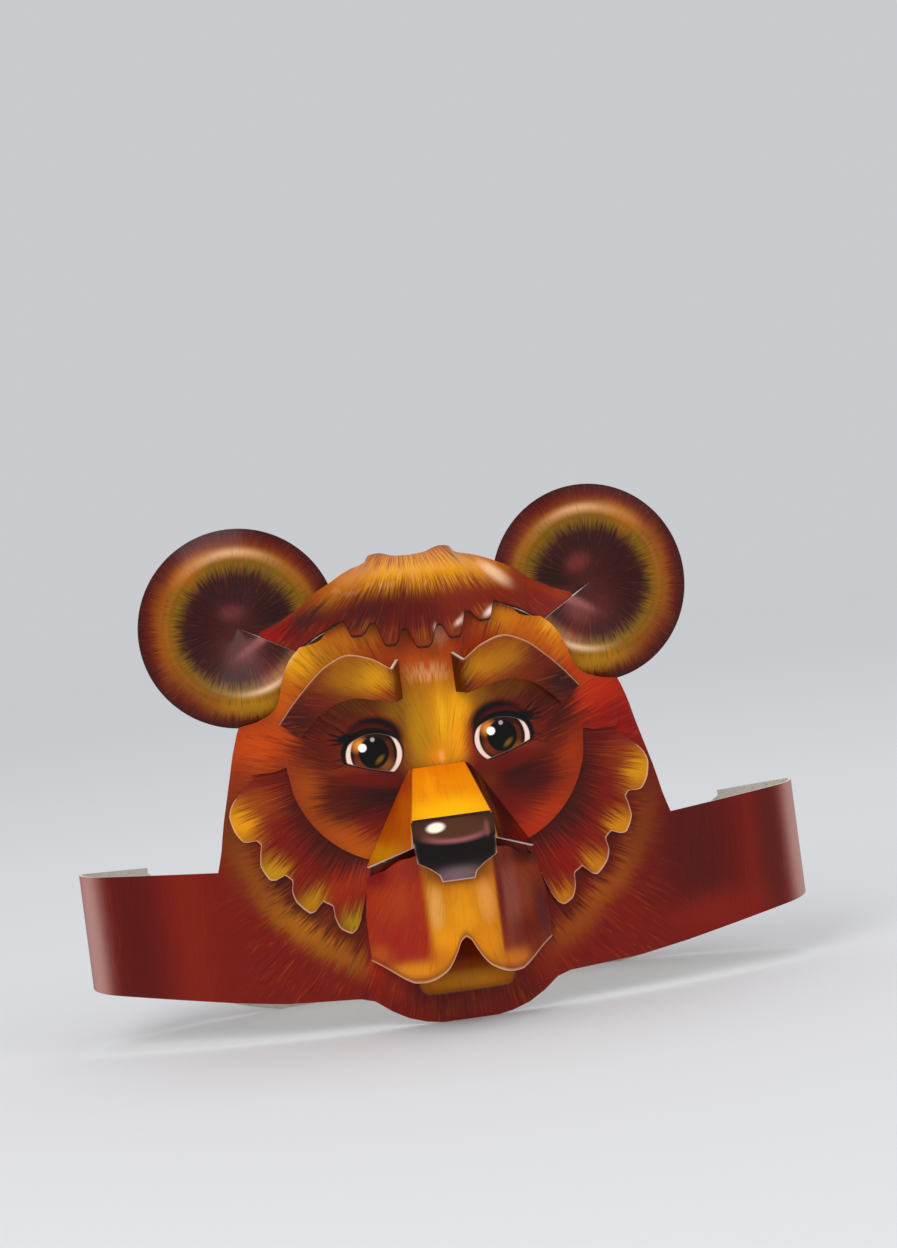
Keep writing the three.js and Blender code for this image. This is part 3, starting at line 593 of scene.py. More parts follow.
class BEARMASK_OT_strap(MaskStep, bpy.types.Operator):
    """The plain strap that closes the loop behind the head"""

    bl_idname = "bear_mask.strap"
    bl_label = "Back strap"

    def build(self, sizes):
        flat_run = HALF_RUN - float(run_of(STRAP_FLAT))
        shoulder = SLIT_END + 1.5
        half = spread([SLIT_START - 12, SLIT_START + 1, SLIT_END - 1, SLIT_END + 0.3, shoulder], 0.8)
        half = np.concatenate([half, spread([shoulder + 0.5, flat_run, HALF_RUN], 3.0)])
        run = np.concatenate([half, (2 * HALF_RUN - half[:-1])[::-1]])[:, None]
        r = np.where(run > HALF_RUN, 2 * HALF_RUN - run, run)
        inward = smooth((SLIT_END - 0.9 - r) / (SLIT_END - SLIT_START - 1.8))
        out = mix(STEP, -STEP, inward)
        y = on_loop(r, 0.0, 0.0)[..., 1]
        floor = STRAP_LOW * (y + HALF_DEPTH) / (2 * HALF_DEPTH)
        rise = clamp((flat_run - r) / (flat_run - shoulder)) ** 1.6
        end = (BAND_END[0] + BAND_END[1]) / 2
        bottom = mix(floor - SEAT, end - STRAP_HEIGHT / 2, rise)
        tongue = r < shoulder + 0.2
        low = np.where(tongue, end - TONGUE / 2, bottom)
        high = np.where(tongue, end + TONGUE / 2, bottom + STRAP_HEIGHT)
        z = mix(low, high, across_sheet(17))
        points = on_loop(np.where(run > HALF_RUN, -r, r), z, out)
        flat = plane(run, z)
        paint = dabbed(flat, "6A1E18", ())
        material = printed_card("strap print", sizes.gloss, contrast=0.3)
        card_sheet("back_strap", points, flat, flat, paint, paint, material, level=True)


def fringe_low(share):
    at = np.array([row["at"] for row in FRINGE])
    low = np.array([row["low"] for row in FRINGE])
    i = np.clip(np.searchsorted(at, share, side="left"), 1, len(at) - 1)
    t = (share - at[i - 1]) / (at[i] - at[i - 1])
    a, b = low[i - 1], low[i]
    from_lobe = np.where(a < b, t, 1 - t)
    wave = smooth(0.35 * clamp((from_lobe - 0.2) / 0.76) + 0.65 * smooth((from_lobe - 0.2) / 0.76))
    return np.where(i > 5, mix(a, b, t), mix(np.minimum(a, b), np.maximum(a, b), wave))


class BEARMASK_OT_crown(MaskStep, bpy.types.Operator):
    """The fringed hair from ear to ear"""

    bl_idname = "bear_mask.crown"
    bl_label = "Hair"

    def build(self, sizes):
        share = both_sides(spread([row["at"] for row in FRINGE], 0.0075))[:, None]
        row = across_sheet(61)
        across = np.abs(share)
        x = share * CROWN_HALF
        z = mix(fringe_low(across), curve(HAIR_TOP, "high", across), row) * CROWN_TOP
        r = np.hypot(np.abs(x) - EAR_ACROSS, z - EAR_UP)
        in_ear = -EAR_DEPTH * clamp(1 - r / EAR_CREASE) - 0.25 * SEAT
        rise = CROWN_PROUD * (1 - smooth((np.abs(x) - 2) / 36))
        bulge = FACE_LIFT + STEP + 0.4 + rise * (0.25 + 0.75 * np.sin(np.pi * (0.15 + 0.7 * row)))
        back = CROWN_BACK * smooth((32 - np.abs(x)) / 14) * np.maximum(0, (row - 0.6) / 0.4) ** 2
        points = over(x, z, mix(bulge - back, in_ear, clamp((np.abs(x) - 34.5) / 6)))
        flat = plane(x, z)
        paint, tint = furred(flat, (2, 186), lambda at: dabbed(at, "7E2A1C", CROWN_DABS), 2.4, CROWN_SHINE)
        # Painted shadow: a dark band along the fringe's lower edge, for the shade line under it.
        lip = smooth((1.2 - row * (z[:, -1:] - z[:, :1])) / 0.9)[..., None]
        paint, tint = (mix(each, colour("24100C"), lip) for each in (paint, tint))
        material = printed_card("hair print", sizes.gloss, contrast=0.7)
        card_sheet("crown", points, flat, fan(flat, 2, 186, 40), paint, tint, material)


def arced(out, flat, arcs):
    """Shine along the ear's rings. An arc: distance, half width, direction, half turn, colour, strength."""
    dx, dz = flat[..., 0] - EAR_ACROSS, flat[..., 1] - EAR_UP
    for distance, wide, direction, half, code, strength in arcs:
        away = (np.hypot(dx, dz) - distance) / wide
        off = (np.degrees(np.arctan2(dz, dx)) - direction + 180) % 360 - 180
        weight = strength * np.exp(-away**2 - (off / half) ** 2)
        out = mix(out, colour(code), weight[..., None])
    return out


def ear_paint(at):
    """Rings of colour round the ear's middle, with dabs over them."""
    r = np.hypot(at[..., 0] - EAR_ACROSS, at[..., 1] - EAR_UP)
    rings = np.array([colour(row[1]) for row in EAR_RINGS])
    ground = np.stack([np.interp(r, [row[0] for row in EAR_RINGS], rings[:, i]) for i in range(3)], axis=-1)
    return shone(ground, at, EAR_DABS)


def ear_height(r):
    cup = -EAR_DEPTH * (1 - r / EAR_CREASE)
    rim = -EAR_RIM_TURN * (r - EAR_CREASE) / (EAR_RADIUS - EAR_CREASE)
    return np.where(r < EAR_CREASE, cup, rim)


class BEARMASK_OT_ears(MaskStep, bpy.types.Operator):
    """Two round ears, each cut once and lapped into a shallow cone with a turned rim"""

    bl_idname = "bear_mask.ears"
    bl_label = "Ears"

    def build(self, sizes):
        crease = (EAR_CREASE + 0.7, EAR_CREASE, EAR_CREASE - 0.7)
        r = spread([EAR_RADIUS, *crease, EAR_HUB + 0.5, EAR_HUB - 0.5, 6, 0], 0.8)[None, :]
        share = np.linspace(0, 1, 221)[:, None]
        for name, side in pair("ear"):
            # The slit's ends lap outside the hub and stay a little apart in it.
            last = smooth((share - 0.93) / 0.07)
            lap = np.where(r > EAR_HUB, EAR_LAP * last, 0)
            gap = np.where(r <= EAR_HUB, EAR_HUB_GAP * last, 0)
            turn = 360 * share + np.degrees(lap / np.maximum(r, 1)) - gap
            angle = np.radians(EAR_SLIT_TURN + turn)
            lip = mix(STEP, -STEP - SEAT, smooth((share - 0.15) / 0.7)) * clamp(r / 6)
            x, z = side * (EAR_ACROSS + r * np.cos(angle)), EAR_UP + r * np.sin(angle)
            points = over(x, z, ear_height(r) + lip)
            flat, place = plane(x, z), plane(side * x, z)
            fur = plane(np.radians(turn) * 24, r)
            paints = furred(place, (EAR_ACROSS, EAR_UP), ear_paint, 1.1, EAR_SHINE[name])
            paint, tint = (arced(each, place, EAR_ARCS) for each in paints)
            if side < 0:
                points, flat, fur, paint, tint = (v[:, ::-1] for v in (points, flat, fur, paint, tint))
            material = printed_card(name + " print", sizes.gloss, 24.0, 1.2, 0.8)
            card_sheet(name, points, flat, fur, paint, tint, material)


class BEARMASK_OT_brows(MaskStep, bpy.types.Operator):
    """Two arched brows that stand off the forehead"""

    bl_idname = "bear_mask.brows"
    bl_label = "Brows"

    def build(self, sizes):
        share, t = np.linspace(0, 1, 61)[:, None], across_sheet(25)
        base, last = FACE_LIFT + STEP, BROW[-1]
        # The line halfway up the brow: below it the cut edge is in shade, and its card is painted dark as
        # shade.
        middle = [(row["low_across"] + row["high_across"], row["low"] + row["high"]) for row in BROW[::-1]]
        middle = (np.array(middle) * (BROW_HALF / 2, FACE_HEIGHT / 2)).T
        for name, side in pair("brow"):
            across = mix(curve(BROW, "low_across", share), curve(BROW, "high_across", share), t)
            up = mix(curve(BROW, "low", share), curve(BROW, "high", share), t)
            proud = np.broadcast_to(base + BROW_PROUD * curve(BROW, "proud", share), up.shape)
            fold = np.linspace(0, 1, 9)[1:, None]
            tab_across = last["low_across"] - 3 / BROW_HALF * fold + 0 * t
            tab_up = mix(last["low"] + 0.005 * fold, last["high"] + 0.02 * fold, t)
            tab_proud = mix(base + BROW_PROUD * last["proud"], base, fold) + 0 * t
            x = side * np.concatenate([across, tab_across]) * BROW_HALF
            z = np.concatenate([up, tab_up]) * FACE_HEIGHT
            points, flat = over(x, z, np.concatenate([proud, tab_proud])), plane(x, z)
            if side > 0:
                points, flat = points[::-1], flat[::-1]
            paint, tint = furred(flat, (side * 6, 112), lambda at: dabbed(at, "6E2818", BROW_DABS[name]), 2.0)
            paint, tint = (pale_edge(each, (1 - t) * 12 + 0 * x, 0.45) for each in (paint, tint))
            material = printed_card(name + " print", sizes.gloss)
            card_sheet(
                name, points, flat, fan(flat, side * 6, 112, 40), paint, tint, material,
                edge_in_shade=lambda x, z: z < np.interp(abs(x), *middle),
            )


class BEARMASK_OT_ruffs(MaskStep, bpy.types.Operator):
    """Scalloped fur under each cheek"""

    bl_idname = "bear_mask.ruffs"
    bl_label = "Cheek fur"

    def build(self, sizes):
        for name, side in pair("ruff"):
            turn = spread([row["at"] for row in RUFF], 0.6)
            turn = (turn[::-1] if side > 0 else turn)[:, None]
            row = np.linspace(1, 0, 41)[None, :]
            r = mix(CHEEK_RADIUS - 4, curve(RUFF, "reach", turn) * RUFF_REACH, row)
            angle = np.radians(turn)
            x, z = side * (CHEEK_ACROSS + r * np.cos(angle)), CHEEK_UP - r * np.sin(angle)
            curl = RUFF_CURL * clamp((r - CHEEK_RADIUS - 4) / (RUFF_REACH - CHEEK_RADIUS - 4)) ** 2
            points = over(x, z, STEP + curl * smooth((turn - 3) / 8))
            flat, fur = plane(x, z), plane(np.radians(turn) * 52, r)
            centre = (side * CHEEK_ACROSS, CHEEK_UP)
            paints = furred(flat, centre, lambda at: dabbed(at, "7A2018", RUFF_DABS[name]), 2.0)
            away = (1 - row) * r + 9 * smooth((9 - turn) / 4)
            paint, tint = (pale_edge(each, away, 0.8) for each in paints)
            material = printed_card(name + " print", sizes.gloss, along=0.7, contrast=0.65)
            card_sheet(name, points, flat, fur, paint, tint, material)


class BEARMASK_OT_snout(MaskStep, bpy.types.Operator):
    """The folded bridge of the nose with its two wings"""

    bl_idname = "bear_mask.snout"
    bl_label = "Snout"

    def build(self, sizes):
        down = spread([row["at"] for row in SNOUT], 0.02)[::-1]
        base = FACE_LIFT + STEP
        value = {key: read(SNOUT, key, down) for key in ("ridge", "ridge_up", "proud", "foot", "foot_up")}
        proud = mix(base, SNOUT_PROUD, value["proud"])
        ridge = {side: over(side * value["ridge"], value["ridge_up"], proud) for side in (-1, 1)}
        foot = {side: over(side * value["foot"], value["foot_up"], base) for side in (-1, 1)}
        wing, top = np.linspace(0, 1, 22), np.linspace(0, 1, 29)
        lines = [mix(foot[-1], ridge[-1], t) for t in wing[:-1]]
        lines += [mix(ridge[-1], ridge[1], t) for t in top]
        lines += [mix(ridge[1], foot[1], t) for t in wing[1:]]
        points = np.array(lines)
        flat = front_of(points)
        # Below the fold the bridge is open between its wings.
        cut = np.zeros((len(lines) - 1, len(down) - 1), bool)
        below = (down[1:] + down[:-1]) / 2 > SNOUT[2]["at"]
        cut[np.ix_(range(len(wing) - 1, len(wing) + len(top) - 2), below)] = True
        on_wing = [smooth((side * flat[..., 0] - value["ridge"]) / 0.5)[..., None] for side in (-1, 1)]
        paint = dabbed(flat, "E48C20", SNOUT_DABS)
        paint = mix(paint, dabbed(flat, "AC541C", WING_LEFT_DABS), on_wing[0])
        paint = mix(paint, dabbed(flat, "3E1210", WING_RIGHT_DABS), on_wing[1])
        material = printed_card("snout print", sizes.gloss, contrast=0.45)
        # The cut edges at the fold, under the nose, are painted dark as shade.
        card_sheet(
            "snout_bridge", points, flat, fan(flat, 0, 130), paint, paint, material, cut,
            edge_in_shade=lambda x, z: abs(x) < NOSE_HALF + 1.5 and abs(z - SNOUT_FOLD) < 1.5,
        )


class BEARMASK_OT_nose(MaskStep, bpy.types.Operator):
    """The dark nose with its lower flap"""

    bl_idname = "bear_mask.nose"
    bl_label = "Nose"

    def build(self, sizes):
        share = np.linspace(-1, 1, 57)[:, None]
        at = spread([row["at"] for row in NOSE], 0.02)[None, :]
        x = share * read(NOSE, "half", at) * NOSE_HALF
        proud = read(NOSE, "proud", at) + 1.2 * read(NOSE, "bow", at) * (1 - share**2)
        points = over(x, read(NOSE, "up", at), proud)
        flat = front_of(points)
        side = (1 - np.abs(share)) * read(NOSE, "half", at) * NOSE_HALF
        away = np.minimum(side, flat[..., 1] - NOSE_FLAP) + 9 * smooth((flat[..., 1] - 66) / 3)
        paint = pale_edge(dabbed(flat, "140C0A", NOSE_DABS), away, 0.5)
        material = printed_card("nose print", sizes.gloss, contrast=0.12, marks=nose_shine)
        # Its top cut edge, under the snout's fold, is painted dark as shade.
        card_sheet(
            "nose", points, flat, flat, paint, paint, material,
            edge_in_shade=lambda x, z: z > SNOUT_FOLD - 1.5,
        )


class BEARMASK_OT_lips(MaskStep, bpy.types.Operator):
    """The curved upper lip and the small lower lip behind it"""

    bl_idname = "bear_mask.lips"
    bl_label = "Lips"

    def build(self, sizes):
        share = both_sides(spread([row["at"] for row in LIP], 0.012))[:, None]
        row, across = across_sheet(41), np.abs(share)
        z = mix(curve(LIP, "low", across), curve(LIP, "high", across), row) * LIP_HEIGHT
        inset = 1 - 0.06 * smooth((row - 0.5) / 0.5) * across
        points = over(share * LIP_HALF * inset, z, curve(LIP, "proud", across) * LIP_PROUD)
        flat = front_of(points)
        left = smooth((-12.3 - flat[..., 0]) / (3.0 + 4 * smooth((34 - z) / 12)) + 0.5)[..., None]
        right = smooth((flat[..., 0] - 12.6) / 1.4 + 0.5)[..., None]
        paint = dabbed(flat, "C27C32", LIP_DABS)
        paint = mix(paint, dabbed(flat, "A0341E", LIP_LEFT_DABS), left)
        paint = mix(paint, dabbed(flat, "8A3C24", LIP_RIGHT_DABS), right)
        away = row * (z[:, -1:] - z[:, :1])
        paint = mix(paint, colour("6E3014"), 0.55 * smooth((3.2 - away) / 2.4)[..., None])
        paint = pale_edge(paint, away)
        material = printed_card("lip print", sizes.gloss, contrast=0.5)
        card_sheet("upper_lip", points, flat, fan(flat, 0, 90), paint, paint, material)

        share = both_sides(spread([0, MOUTH_CORNER, 1], 0.05))[:, None]
        row = across_sheet(31)
        corner = np.maximum(0, (np.abs(share) - MOUTH_CORNER) / (1 - MOUTH_CORNER)) ** 2
        z = mix(MOUTH_LOW + MOUTH_CORNER_UP * corner, MOUTH_HIGH, row)
        proud = mix(MOUTH_PROUD - MOUTH_BOW * share**2, STEP + 0.15, row**0.8)
        points = over(share * MOUTH_HALF * mix(1, 0.9, row), z, proud)
        flat = front_of(points)
        # The dark ground above the ochre rim is painted shade under the upper lip, and all cut edges are
        # painted dark as shade.
        paint = dabbed(flat, "8A3C2A", MOUTH_DABS)
        material = printed_card("mouth print", sizes.gloss, contrast=0.4)
        card_sheet(
            "lower_lip", points, flat, flat, paint, paint, material,
            edge_in_shade=lambda x, z: True,
        )


# Print colours. A dab: x, z, half width, half height, turn, colour, strength.
FACE_DABS = [
    # bands: the dark and lighter stripes are painted shade and painted sheen where the glossy band bends
    # round
    (-118, 45, 12, 60, 0, "5A1814", 0.9), (-96, 45, 7, 60, 0, "842A1C", 0.7),
    (-132, 45, 6, 60, 0, "6E3028", 0.8), (92, 50, 20, 40, 0, "521A18", 0.9),
    (115, 45, 3.5, 60, 0, "7A2A20", 0.8), (124, 45, 7, 60, 0, "55221F", 0.8),
    (96, 24, 22, 8, 5, "8A3028", 0.7),
    # outer face
    (-66, 92, 16, 26, 0, "8E3818", 1), (64, 92, 16, 26, 0, "8A1E18", 1), (-62, 108, 16, 9, 10, "BC4C1C", 1),
    (60, 110, 14, 10, -10, "B23020", 1), (68, 100, 10, 8, 0, "8A1A18", 0.9),
    (-76, 74, 6, 16, 5, "7A4016", 0.9), (74, 68, 6, 16, -5, "7A3A18", 0.8),
    # The next four dark dabs are painted shadow of the cheek fur's scallops on the face.
    (-60, 52, 8, 17, 48, "5A2412", 0.95), (-44, 38, 8, 12, 60, "6A2A14", 0.9),
    (56, 54, 8, 17, -48, "5E1A14", 0.95), (40, 34, 7, 10, -60, "6A1A14", 0.9),
    (-69, 56, 4, 14, 28, "9A5A1C", 0.75), (-56, 39, 4, 15, 48, "B0701E", 0.85),
    (-41, 27, 4.5, 13, 58, "A0621C", 0.8), (67, 52, 4, 15, -28, "8A4A1C", 0.7),
    (54, 38, 4, 15, -52, "A0581E", 0.8), (40, 26, 4.5, 12, -62, "9A521C", 0.75),
    # chin
    (0, 4, 24, 7, 0, "7A2E26", 0.9), (-22, 10, 8, 5, 20, "661816", 0.8), (-31, 22, 4, 7, 0, "9C1A1A", 0.8),
    (-24, 14, 4, 6, 0, "94301E", 0.7), (29, 18, 6, 7, 0, "92321A", 0.8), (20, 8, 6, 5, 0, "6A2018", 0.6),
    # forehead
    (0, 128, 60, 20, 0, "A8481E", 1), (-38, 133, 15, 11, 25, "BC7A22", 0.95),
    (-45, 136, 8, 6, 50, "E2A848", 0.85), (-22, 141, 10, 4, 0, "C87820", 0.9),
    (-9, 136, 6, 9, 0, "A24826", 0.8), (6, 139, 4, 5, 0, "C8805A", 0.8),
    (18, 136, 9, 9, -30, "A24020", 0.9), (32, 141, 10, 5, -15, "D08820", 0.95),
    (40, 134, 12, 7, -30, "BE641E", 0.9), (48, 137, 7, 5, -50, "E8AC58", 0.85),
    (52, 128, 6, 8, 0, "D07A34", 0.8), (-50, 121, 7, 8, 0, "C46424", 0.9),
    (55, 120, 6, 9, 0, "B2482A", 0.9),
    # under the brows: the dark dabs are painted shadow cast by the brows
    (-36, 112, 14, 7, 25, "54201A", 0.9), (-22, 118, 12, 4, 0, "6E4A1A", 0.9),
    (-13, 115, 5, 6, 0, "A4761E", 0.9), (40, 108, 13, 9, -30, "421614", 0.95),
    (26, 117, 12, 4, 0, "7E5218", 0.9), (16, 115, 5, 6, 0, "B27A1E", 0.9),
    # eye fields
    (-28, 96, 20, 15, 0, "662214", 0.95), (-44, 98, 6, 13, 10, "571C14", 0.9),
    (30, 96, 20, 15, 0, "6A2014", 0.95), (46, 98, 6, 13, -10, "4A1614", 0.9),
    (-31, 93.8, 9, 1.5, -4, "96421E", 0.9), (32, 93.8, 9, 1.5, 4, "8E3A20", 0.9),
    # cheeks
    (-46, 86, 6, 13, 18, "A4501E", 0.95), (-36, 70, 6, 14, 45, "AE561E", 0.95),
    (-28, 64, 9, 5, 0, "B4601E", 0.9), (47, 86, 6, 13, -18, "A23E1E", 0.95),
    (38, 70, 6, 14, -45, "AC4020", 0.95), (29, 64, 9, 5, 0, "B23A20", 0.9),
    (-28, 84, 16, 8, 8, "3E1210", 0.98), (-18, 85, 7, 7, 0, "2A0E0E", 0.9),
    (-38, 84, 6, 8, 20, "55190F", 0.8), (31, 84, 15, 8, -8, "4A1612", 0.98),
    (26, 88, 9, 3.5, 0, "34100E", 0.85), (17, 84, 3, 9, -20, "7A3A1A", 0.7),
    # bridge between the eyes
    (-5, 106, 6.5, 19, 0, "B6841E", 1), (4, 106, 6, 19, 0, "D8992A", 1),
    (10, 112, 4.5, 9, 0, "F0AC1E", 0.95), (8.5, 100, 3, 8, 0, "F0A222", 0.9),
    (12.5, 99, 2, 8, 0, "9A3E18", 0.8), (-11, 103, 2, 12, 0, "7A4A1A", 0.6),
    (0, 95, 4, 3, 0, "E89840", 0.8), (1, 131, 10, 3.2, 0, "B65C3A", 0.85),
    (0.5, 125.4, 8.5, 2.3, -3, "ECBC94", 0.55),
]
FACE_SHINE = [
    (3.5, 110, 1.6, 8, 0, "F6C060", 0.6), (1.5, 95, 1.4, 2.4, 0, "F4B478", 0.7),
    (-46.5, 138.4, 6, 1.6, 48, "F0C888", 0.6), (49, 138.4, 6, 1.6, -48, "F0C490", 0.6),
    (6.5, 139, 3, 3.4, 0, "DCA088", 0.6), (-136, 45, 6, 70, 0, "C09890", 0.75),
    (136, 45, 6, 70, 0, "C09890", 0.75),
]
CROWN_DABS = [
    (0, 163, 36, 9, 0, "B0641C", 1), (-3, 162, 22, 5.5, 0, "E4A028", 1),
    (16, 161, 14, 4.2, -12, "DC9A38", 0.9), (-27, 158, 12, 4.5, 18, "B87020", 0.9),
    (-40, 156, 8, 3, 28, "9A4A1E", 0.8), (0, 170, 26, 3.4, 0, "9A501C", 0.9),
    (-15, 151, 18, 7, 8, "501818", 0.95), (-42, 149, 13, 4, 22, "3E1A1C", 0.9),
    (-20, 148, 10, 4, 0, "4A1A1C", 0.8), (0, 147, 13, 8, 0, "5E1C18", 0.95),
    (18, 149, 12, 7, 0, "7E3226", 0.9), (28, 148, 7, 4, -20, "7E2A1E", 0.8),
    (43, 152, 10, 5, -30, "8E3418", 0.9), (47, 145, 8, 4, -30, "7E1E18", 0.9),
    (52, 148, 6, 3, -35, "9C3A1C", 0.8), (-52, 146, 6, 4, 30, "9C1C1A", 0.9),
    (-45, 141, 5, 3, 20, "761C1A", 0.8), (-22, 143, 4, 2.6, 0, "8E4C20", 0.9),
    (-12, 138.6, 3.4, 3, 0, "82401E", 0.9), (0.5, 136.6, 4, 3, 0, "98541E", 0.9),
    (12, 138.6, 3.6, 3, 0, "90481E", 0.9), (24, 142.8, 3.6, 2.4, 0, "A46434", 0.9),
]
CROWN_SHINE = [
    (29, 157.6, 6.5, 2.2, -42, "F0C8A8", 0.8), (4.6, 141, 1, 1.6, 0, "E8B8A8", 0.9),
    (14, 142.6, 2.6, 1, 35, "F0D0C0", 0.95), (25.4, 144.6, 2.8, 1.2, 35, "F6E2D4", 0.95),
]
BROW_DABS = {
    "brow_left": [
        (-20, 126, 8, 6, 0, "D0961E", 1), (-30, 128, 8, 6, 20, "A8701E", 0.9),
        (-18, 120, 6, 2.6, 10, "A24C1C", 0.8), (-47, 116, 8, 8, 40, "44140F", 1),
        (-41, 122, 6, 6, 30, "6A2618", 0.9), (-37, 129, 7, 3, 40, "8E4E1E", 0.8),
        (-29, 134.5, 10, 1.8, 0, "A8641E", 0.8), (-11.5, 122, 2.3, 14, 0, "5E2A16", 1),
    ],
    "brow_right": [
        (20, 125, 8, 6, 0, "B87C20", 1), (29, 128, 8, 6, -20, "AC7022", 0.9),
        (20, 119.6, 8, 2.6, -5, "8A3A1C", 0.8), (48, 117, 8, 9, -40, "38120F", 1),
        (41, 124, 6, 6, -30, "6A2418", 0.9), (33, 121, 6, 3, -10, "7A3018", 0.8),
        (29, 133.6, 10, 1.8, 0, "9A521C", 0.8), (11.5, 122, 2.3, 14, 0, "3E1612", 1),
    ],
}
RUFF_DABS = {
    "ruff_left": [
        (-50, 86, 8, 14, 15, "4A1813", 0.95), (-42, 69, 8, 12, 40, "43170F", 0.95),
        (-33, 61, 7, 5, 40, "3E1410", 0.9), (-60, 92, 7, 8, 0, "701A14", 0.8),
        (-65, 86, 8, 6, -20, "9A4A18", 0.8), (-74, 80, 6, 8, 20, "DE981E", 1),
        (-64, 61, 5.5, 6, 30, "BE8E22", 1), (-51, 48.5, 6, 5, 40, "B08020", 1),
        (-37, 40, 5, 5, 30, "AA8820", 1), (-40, 52, 6, 6, 30, "A84434", 0.7),
        (-32, 54, 4, 6, 10, "A8483A", 0.7), (-70, 72, 5, 5, 30, "B87A20", 0.6),
    ],
    "ruff_right": [
        (51, 86, 8, 14, -15, "42150F", 0.95), (44, 69, 8, 12, -40, "401814", 0.95),
        (34, 61, 7, 5, -40, "4A1614", 0.9), (60, 92, 7, 8, 0, "621612", 0.8),
        (66, 86, 7, 6, 20, "8E3C18", 0.7), (74, 80, 6, 8, -20, "CE943E", 1),
        (64, 61, 5.5, 6, -30, "C88C3C", 1), (53, 48.5, 6, 5, -40, "C2843A", 1),
        (39, 38.5, 5.5, 5, -20, "C27C32", 1), (42, 52, 7, 7, -30, "8C1C16", 0.7),
        (70, 73, 5, 5, -30, "B0763A", 0.5),
    ],
}
SNOUT_DABS = [
    (0, 92, 14, 4, 0, "E27E18", 0.9), (0, 76, 16, 5, 0, "F4BA44", 1), (-5, 84, 2, 6, 0, "F6A428", 0.6),
]
WING_LEFT_DABS = [
    (-17, 82, 4, 12, -28, "A02C1C", 0.95), (-15, 78, 3, 8, -20, "C46A1E", 0.7),
    (-24, 64, 7, 4, 20, "C48826", 0.9), (-21, 71, 4, 6, -25, "B0581E", 0.8),
]
WING_RIGHT_DABS = [
    (14.6, 78, 1.2, 10, 10, "7A4A1C", 0.7), (26, 63, 6, 5, -20, "6A1E16", 0.8),
    (19, 74, 3, 9, 25, "341010", 0.8),
]
NOSE_DABS = [
    (0, 71.5, 16, 4.5, 0, "5C3A2A", 0.95), (0, 63, 16, 4, 0, "120908", 0.9),
    (0, 54, 9, 3.4, 0, "806A70", 0.98),
]
LIP_DABS = [
    # Painted highlights on the lip's front beside its creases.
    (-9, 42, 3, 12, 0, "DCA666", 0.85), (8.5, 44, 3.5, 10, 0, "DE9E60", 0.85),
    (0, 44, 5, 8, 0, "DA963C", 0.8), (0, 38, 6, 6, 0, "E29A2C", 0.8), (-6, 31, 5, 5, 40, "E2951E", 0.9),
    (8, 29, 5, 5, -40, "DA8A26", 0.85), (-11, 26, 6, 4, -20, "CC7A20", 0.7),
    # Painted shadow under the nose and its flap.
    (0, 55, 16, 5, 0, "8E4A16", 0.9), (0, 60, 16, 3.5, 0, "4E2610", 0.9),
]
LIP_LEFT_DABS = [
    (-22, 47, 7, 9, 0, "AC4420", 0.9), (-28, 56, 6, 5, 0, "781418", 0.9), (-15, 58, 4, 5, 0, "8A301C", 0.8),
    (-20, 32, 8, 7, 0, "A22A1E", 0.9), (-18, 21, 12, 3.6, 5, "DC8E1E", 0.95),
    (-29, 27, 4, 4, 20, "B4561C", 0.9), (-16.5, 45, 1.6, 14, 0, "98301C", 0.5),
]
LIP_RIGHT_DABS = [
    # Mauve painted highlights on the right panel.
    (18.5, 44, 3.5, 15, 0, "8E5248", 0.85), (25, 46, 3.5, 11, 0, "8A4A38", 0.7),
    (30, 36, 4, 12, 0, "58191A", 0.9), (22, 30, 6, 6, 0, "6C2018", 0.8),
    (17, 21, 9, 3.6, -8, "CC7620", 0.95), (27, 23, 5, 3, 10, "7E3418", 0.8),
    (26, 57, 8, 4, -10, "3E1816", 0.9), (15, 58, 4, 5, 0, "6E2618", 0.8),
    (14, 44, 1.2, 14, 0, "64201A", 0.8),
]
MOUTH_DABS = [
    (0, 14.5, 19, 4.5, 0, "D08E48", 1), (0, 20, 16, 2.0, 0, "A8583A", 0.6),
    (0, 11, 18, 1.4, 0, "9A6236", 0.7),
]
# Millimetres from the middle of the ear, and the colour there.
EAR_RINGS = [
    (0, "4A2220"), (9, "421817"), (17, "361211"), (20, "46201A"), (22.3, "785A22"), (24.9, "8C6822"),
    (25.6, "744A1E"), (26.8, "945C22"), (29, "82421A"), (31.5, "6A2214"), (34, "501612"), (36, "3A1410"),
]
EAR_DABS = [
    (51, 155, 7, 6, 0, "2A0D0C", 0.9), (79, 148, 7, 11, 0, "351110", 0.7),
    (64, 163, 9, 4, 0, "3A1A1C", 0.6), (65, 140, 8, 6, 20, "5C2220", 0.7),
    (55, 133, 6, 5, 0, "6A2420", 0.6), (62, 121.5, 13, 3, 4, "AC7C1C", 0.9),
    (91, 150, 3, 16, 0, "A4641E", 0.5), (80, 172, 8, 3, -40, "AE6420", 0.6),
]
EAR_SHINE = {
    "ear_left": [
        (66, 156, 5, 3, 0, "744040", 0.7), (57, 144.6, 9, 1.5, -31, "A87874", 0.8),
        (61, 141.5, 6, 3, -31, "7A4040", 0.6),
    ],
    "ear_right": [
        (61, 158, 5, 3.4, 20, "82403A", 0.7), (56.5, 144.6, 9, 1.8, -31, "A87470", 0.8),
        (58, 140.5, 6, 4, -31, "864A46", 0.6),
    ],
}
EAR_ARCS = [
    (27.4, 1.6, 92, 32, "E4B48A", 0.75), (28.4, 2.2, 60, 20, "B8804A", 0.5),
    (28, 1.8, 160, 34, "A87834", 0.5), (24.2, 1.1, 245, 26, "F2D0AE", 0.9),
    (22.2, 2.4, 235, 24, "B08060", 0.6), (28.5, 2.6, 262, 30, "AC7C24", 0.6),
]


PUPIL_UP = 99.4
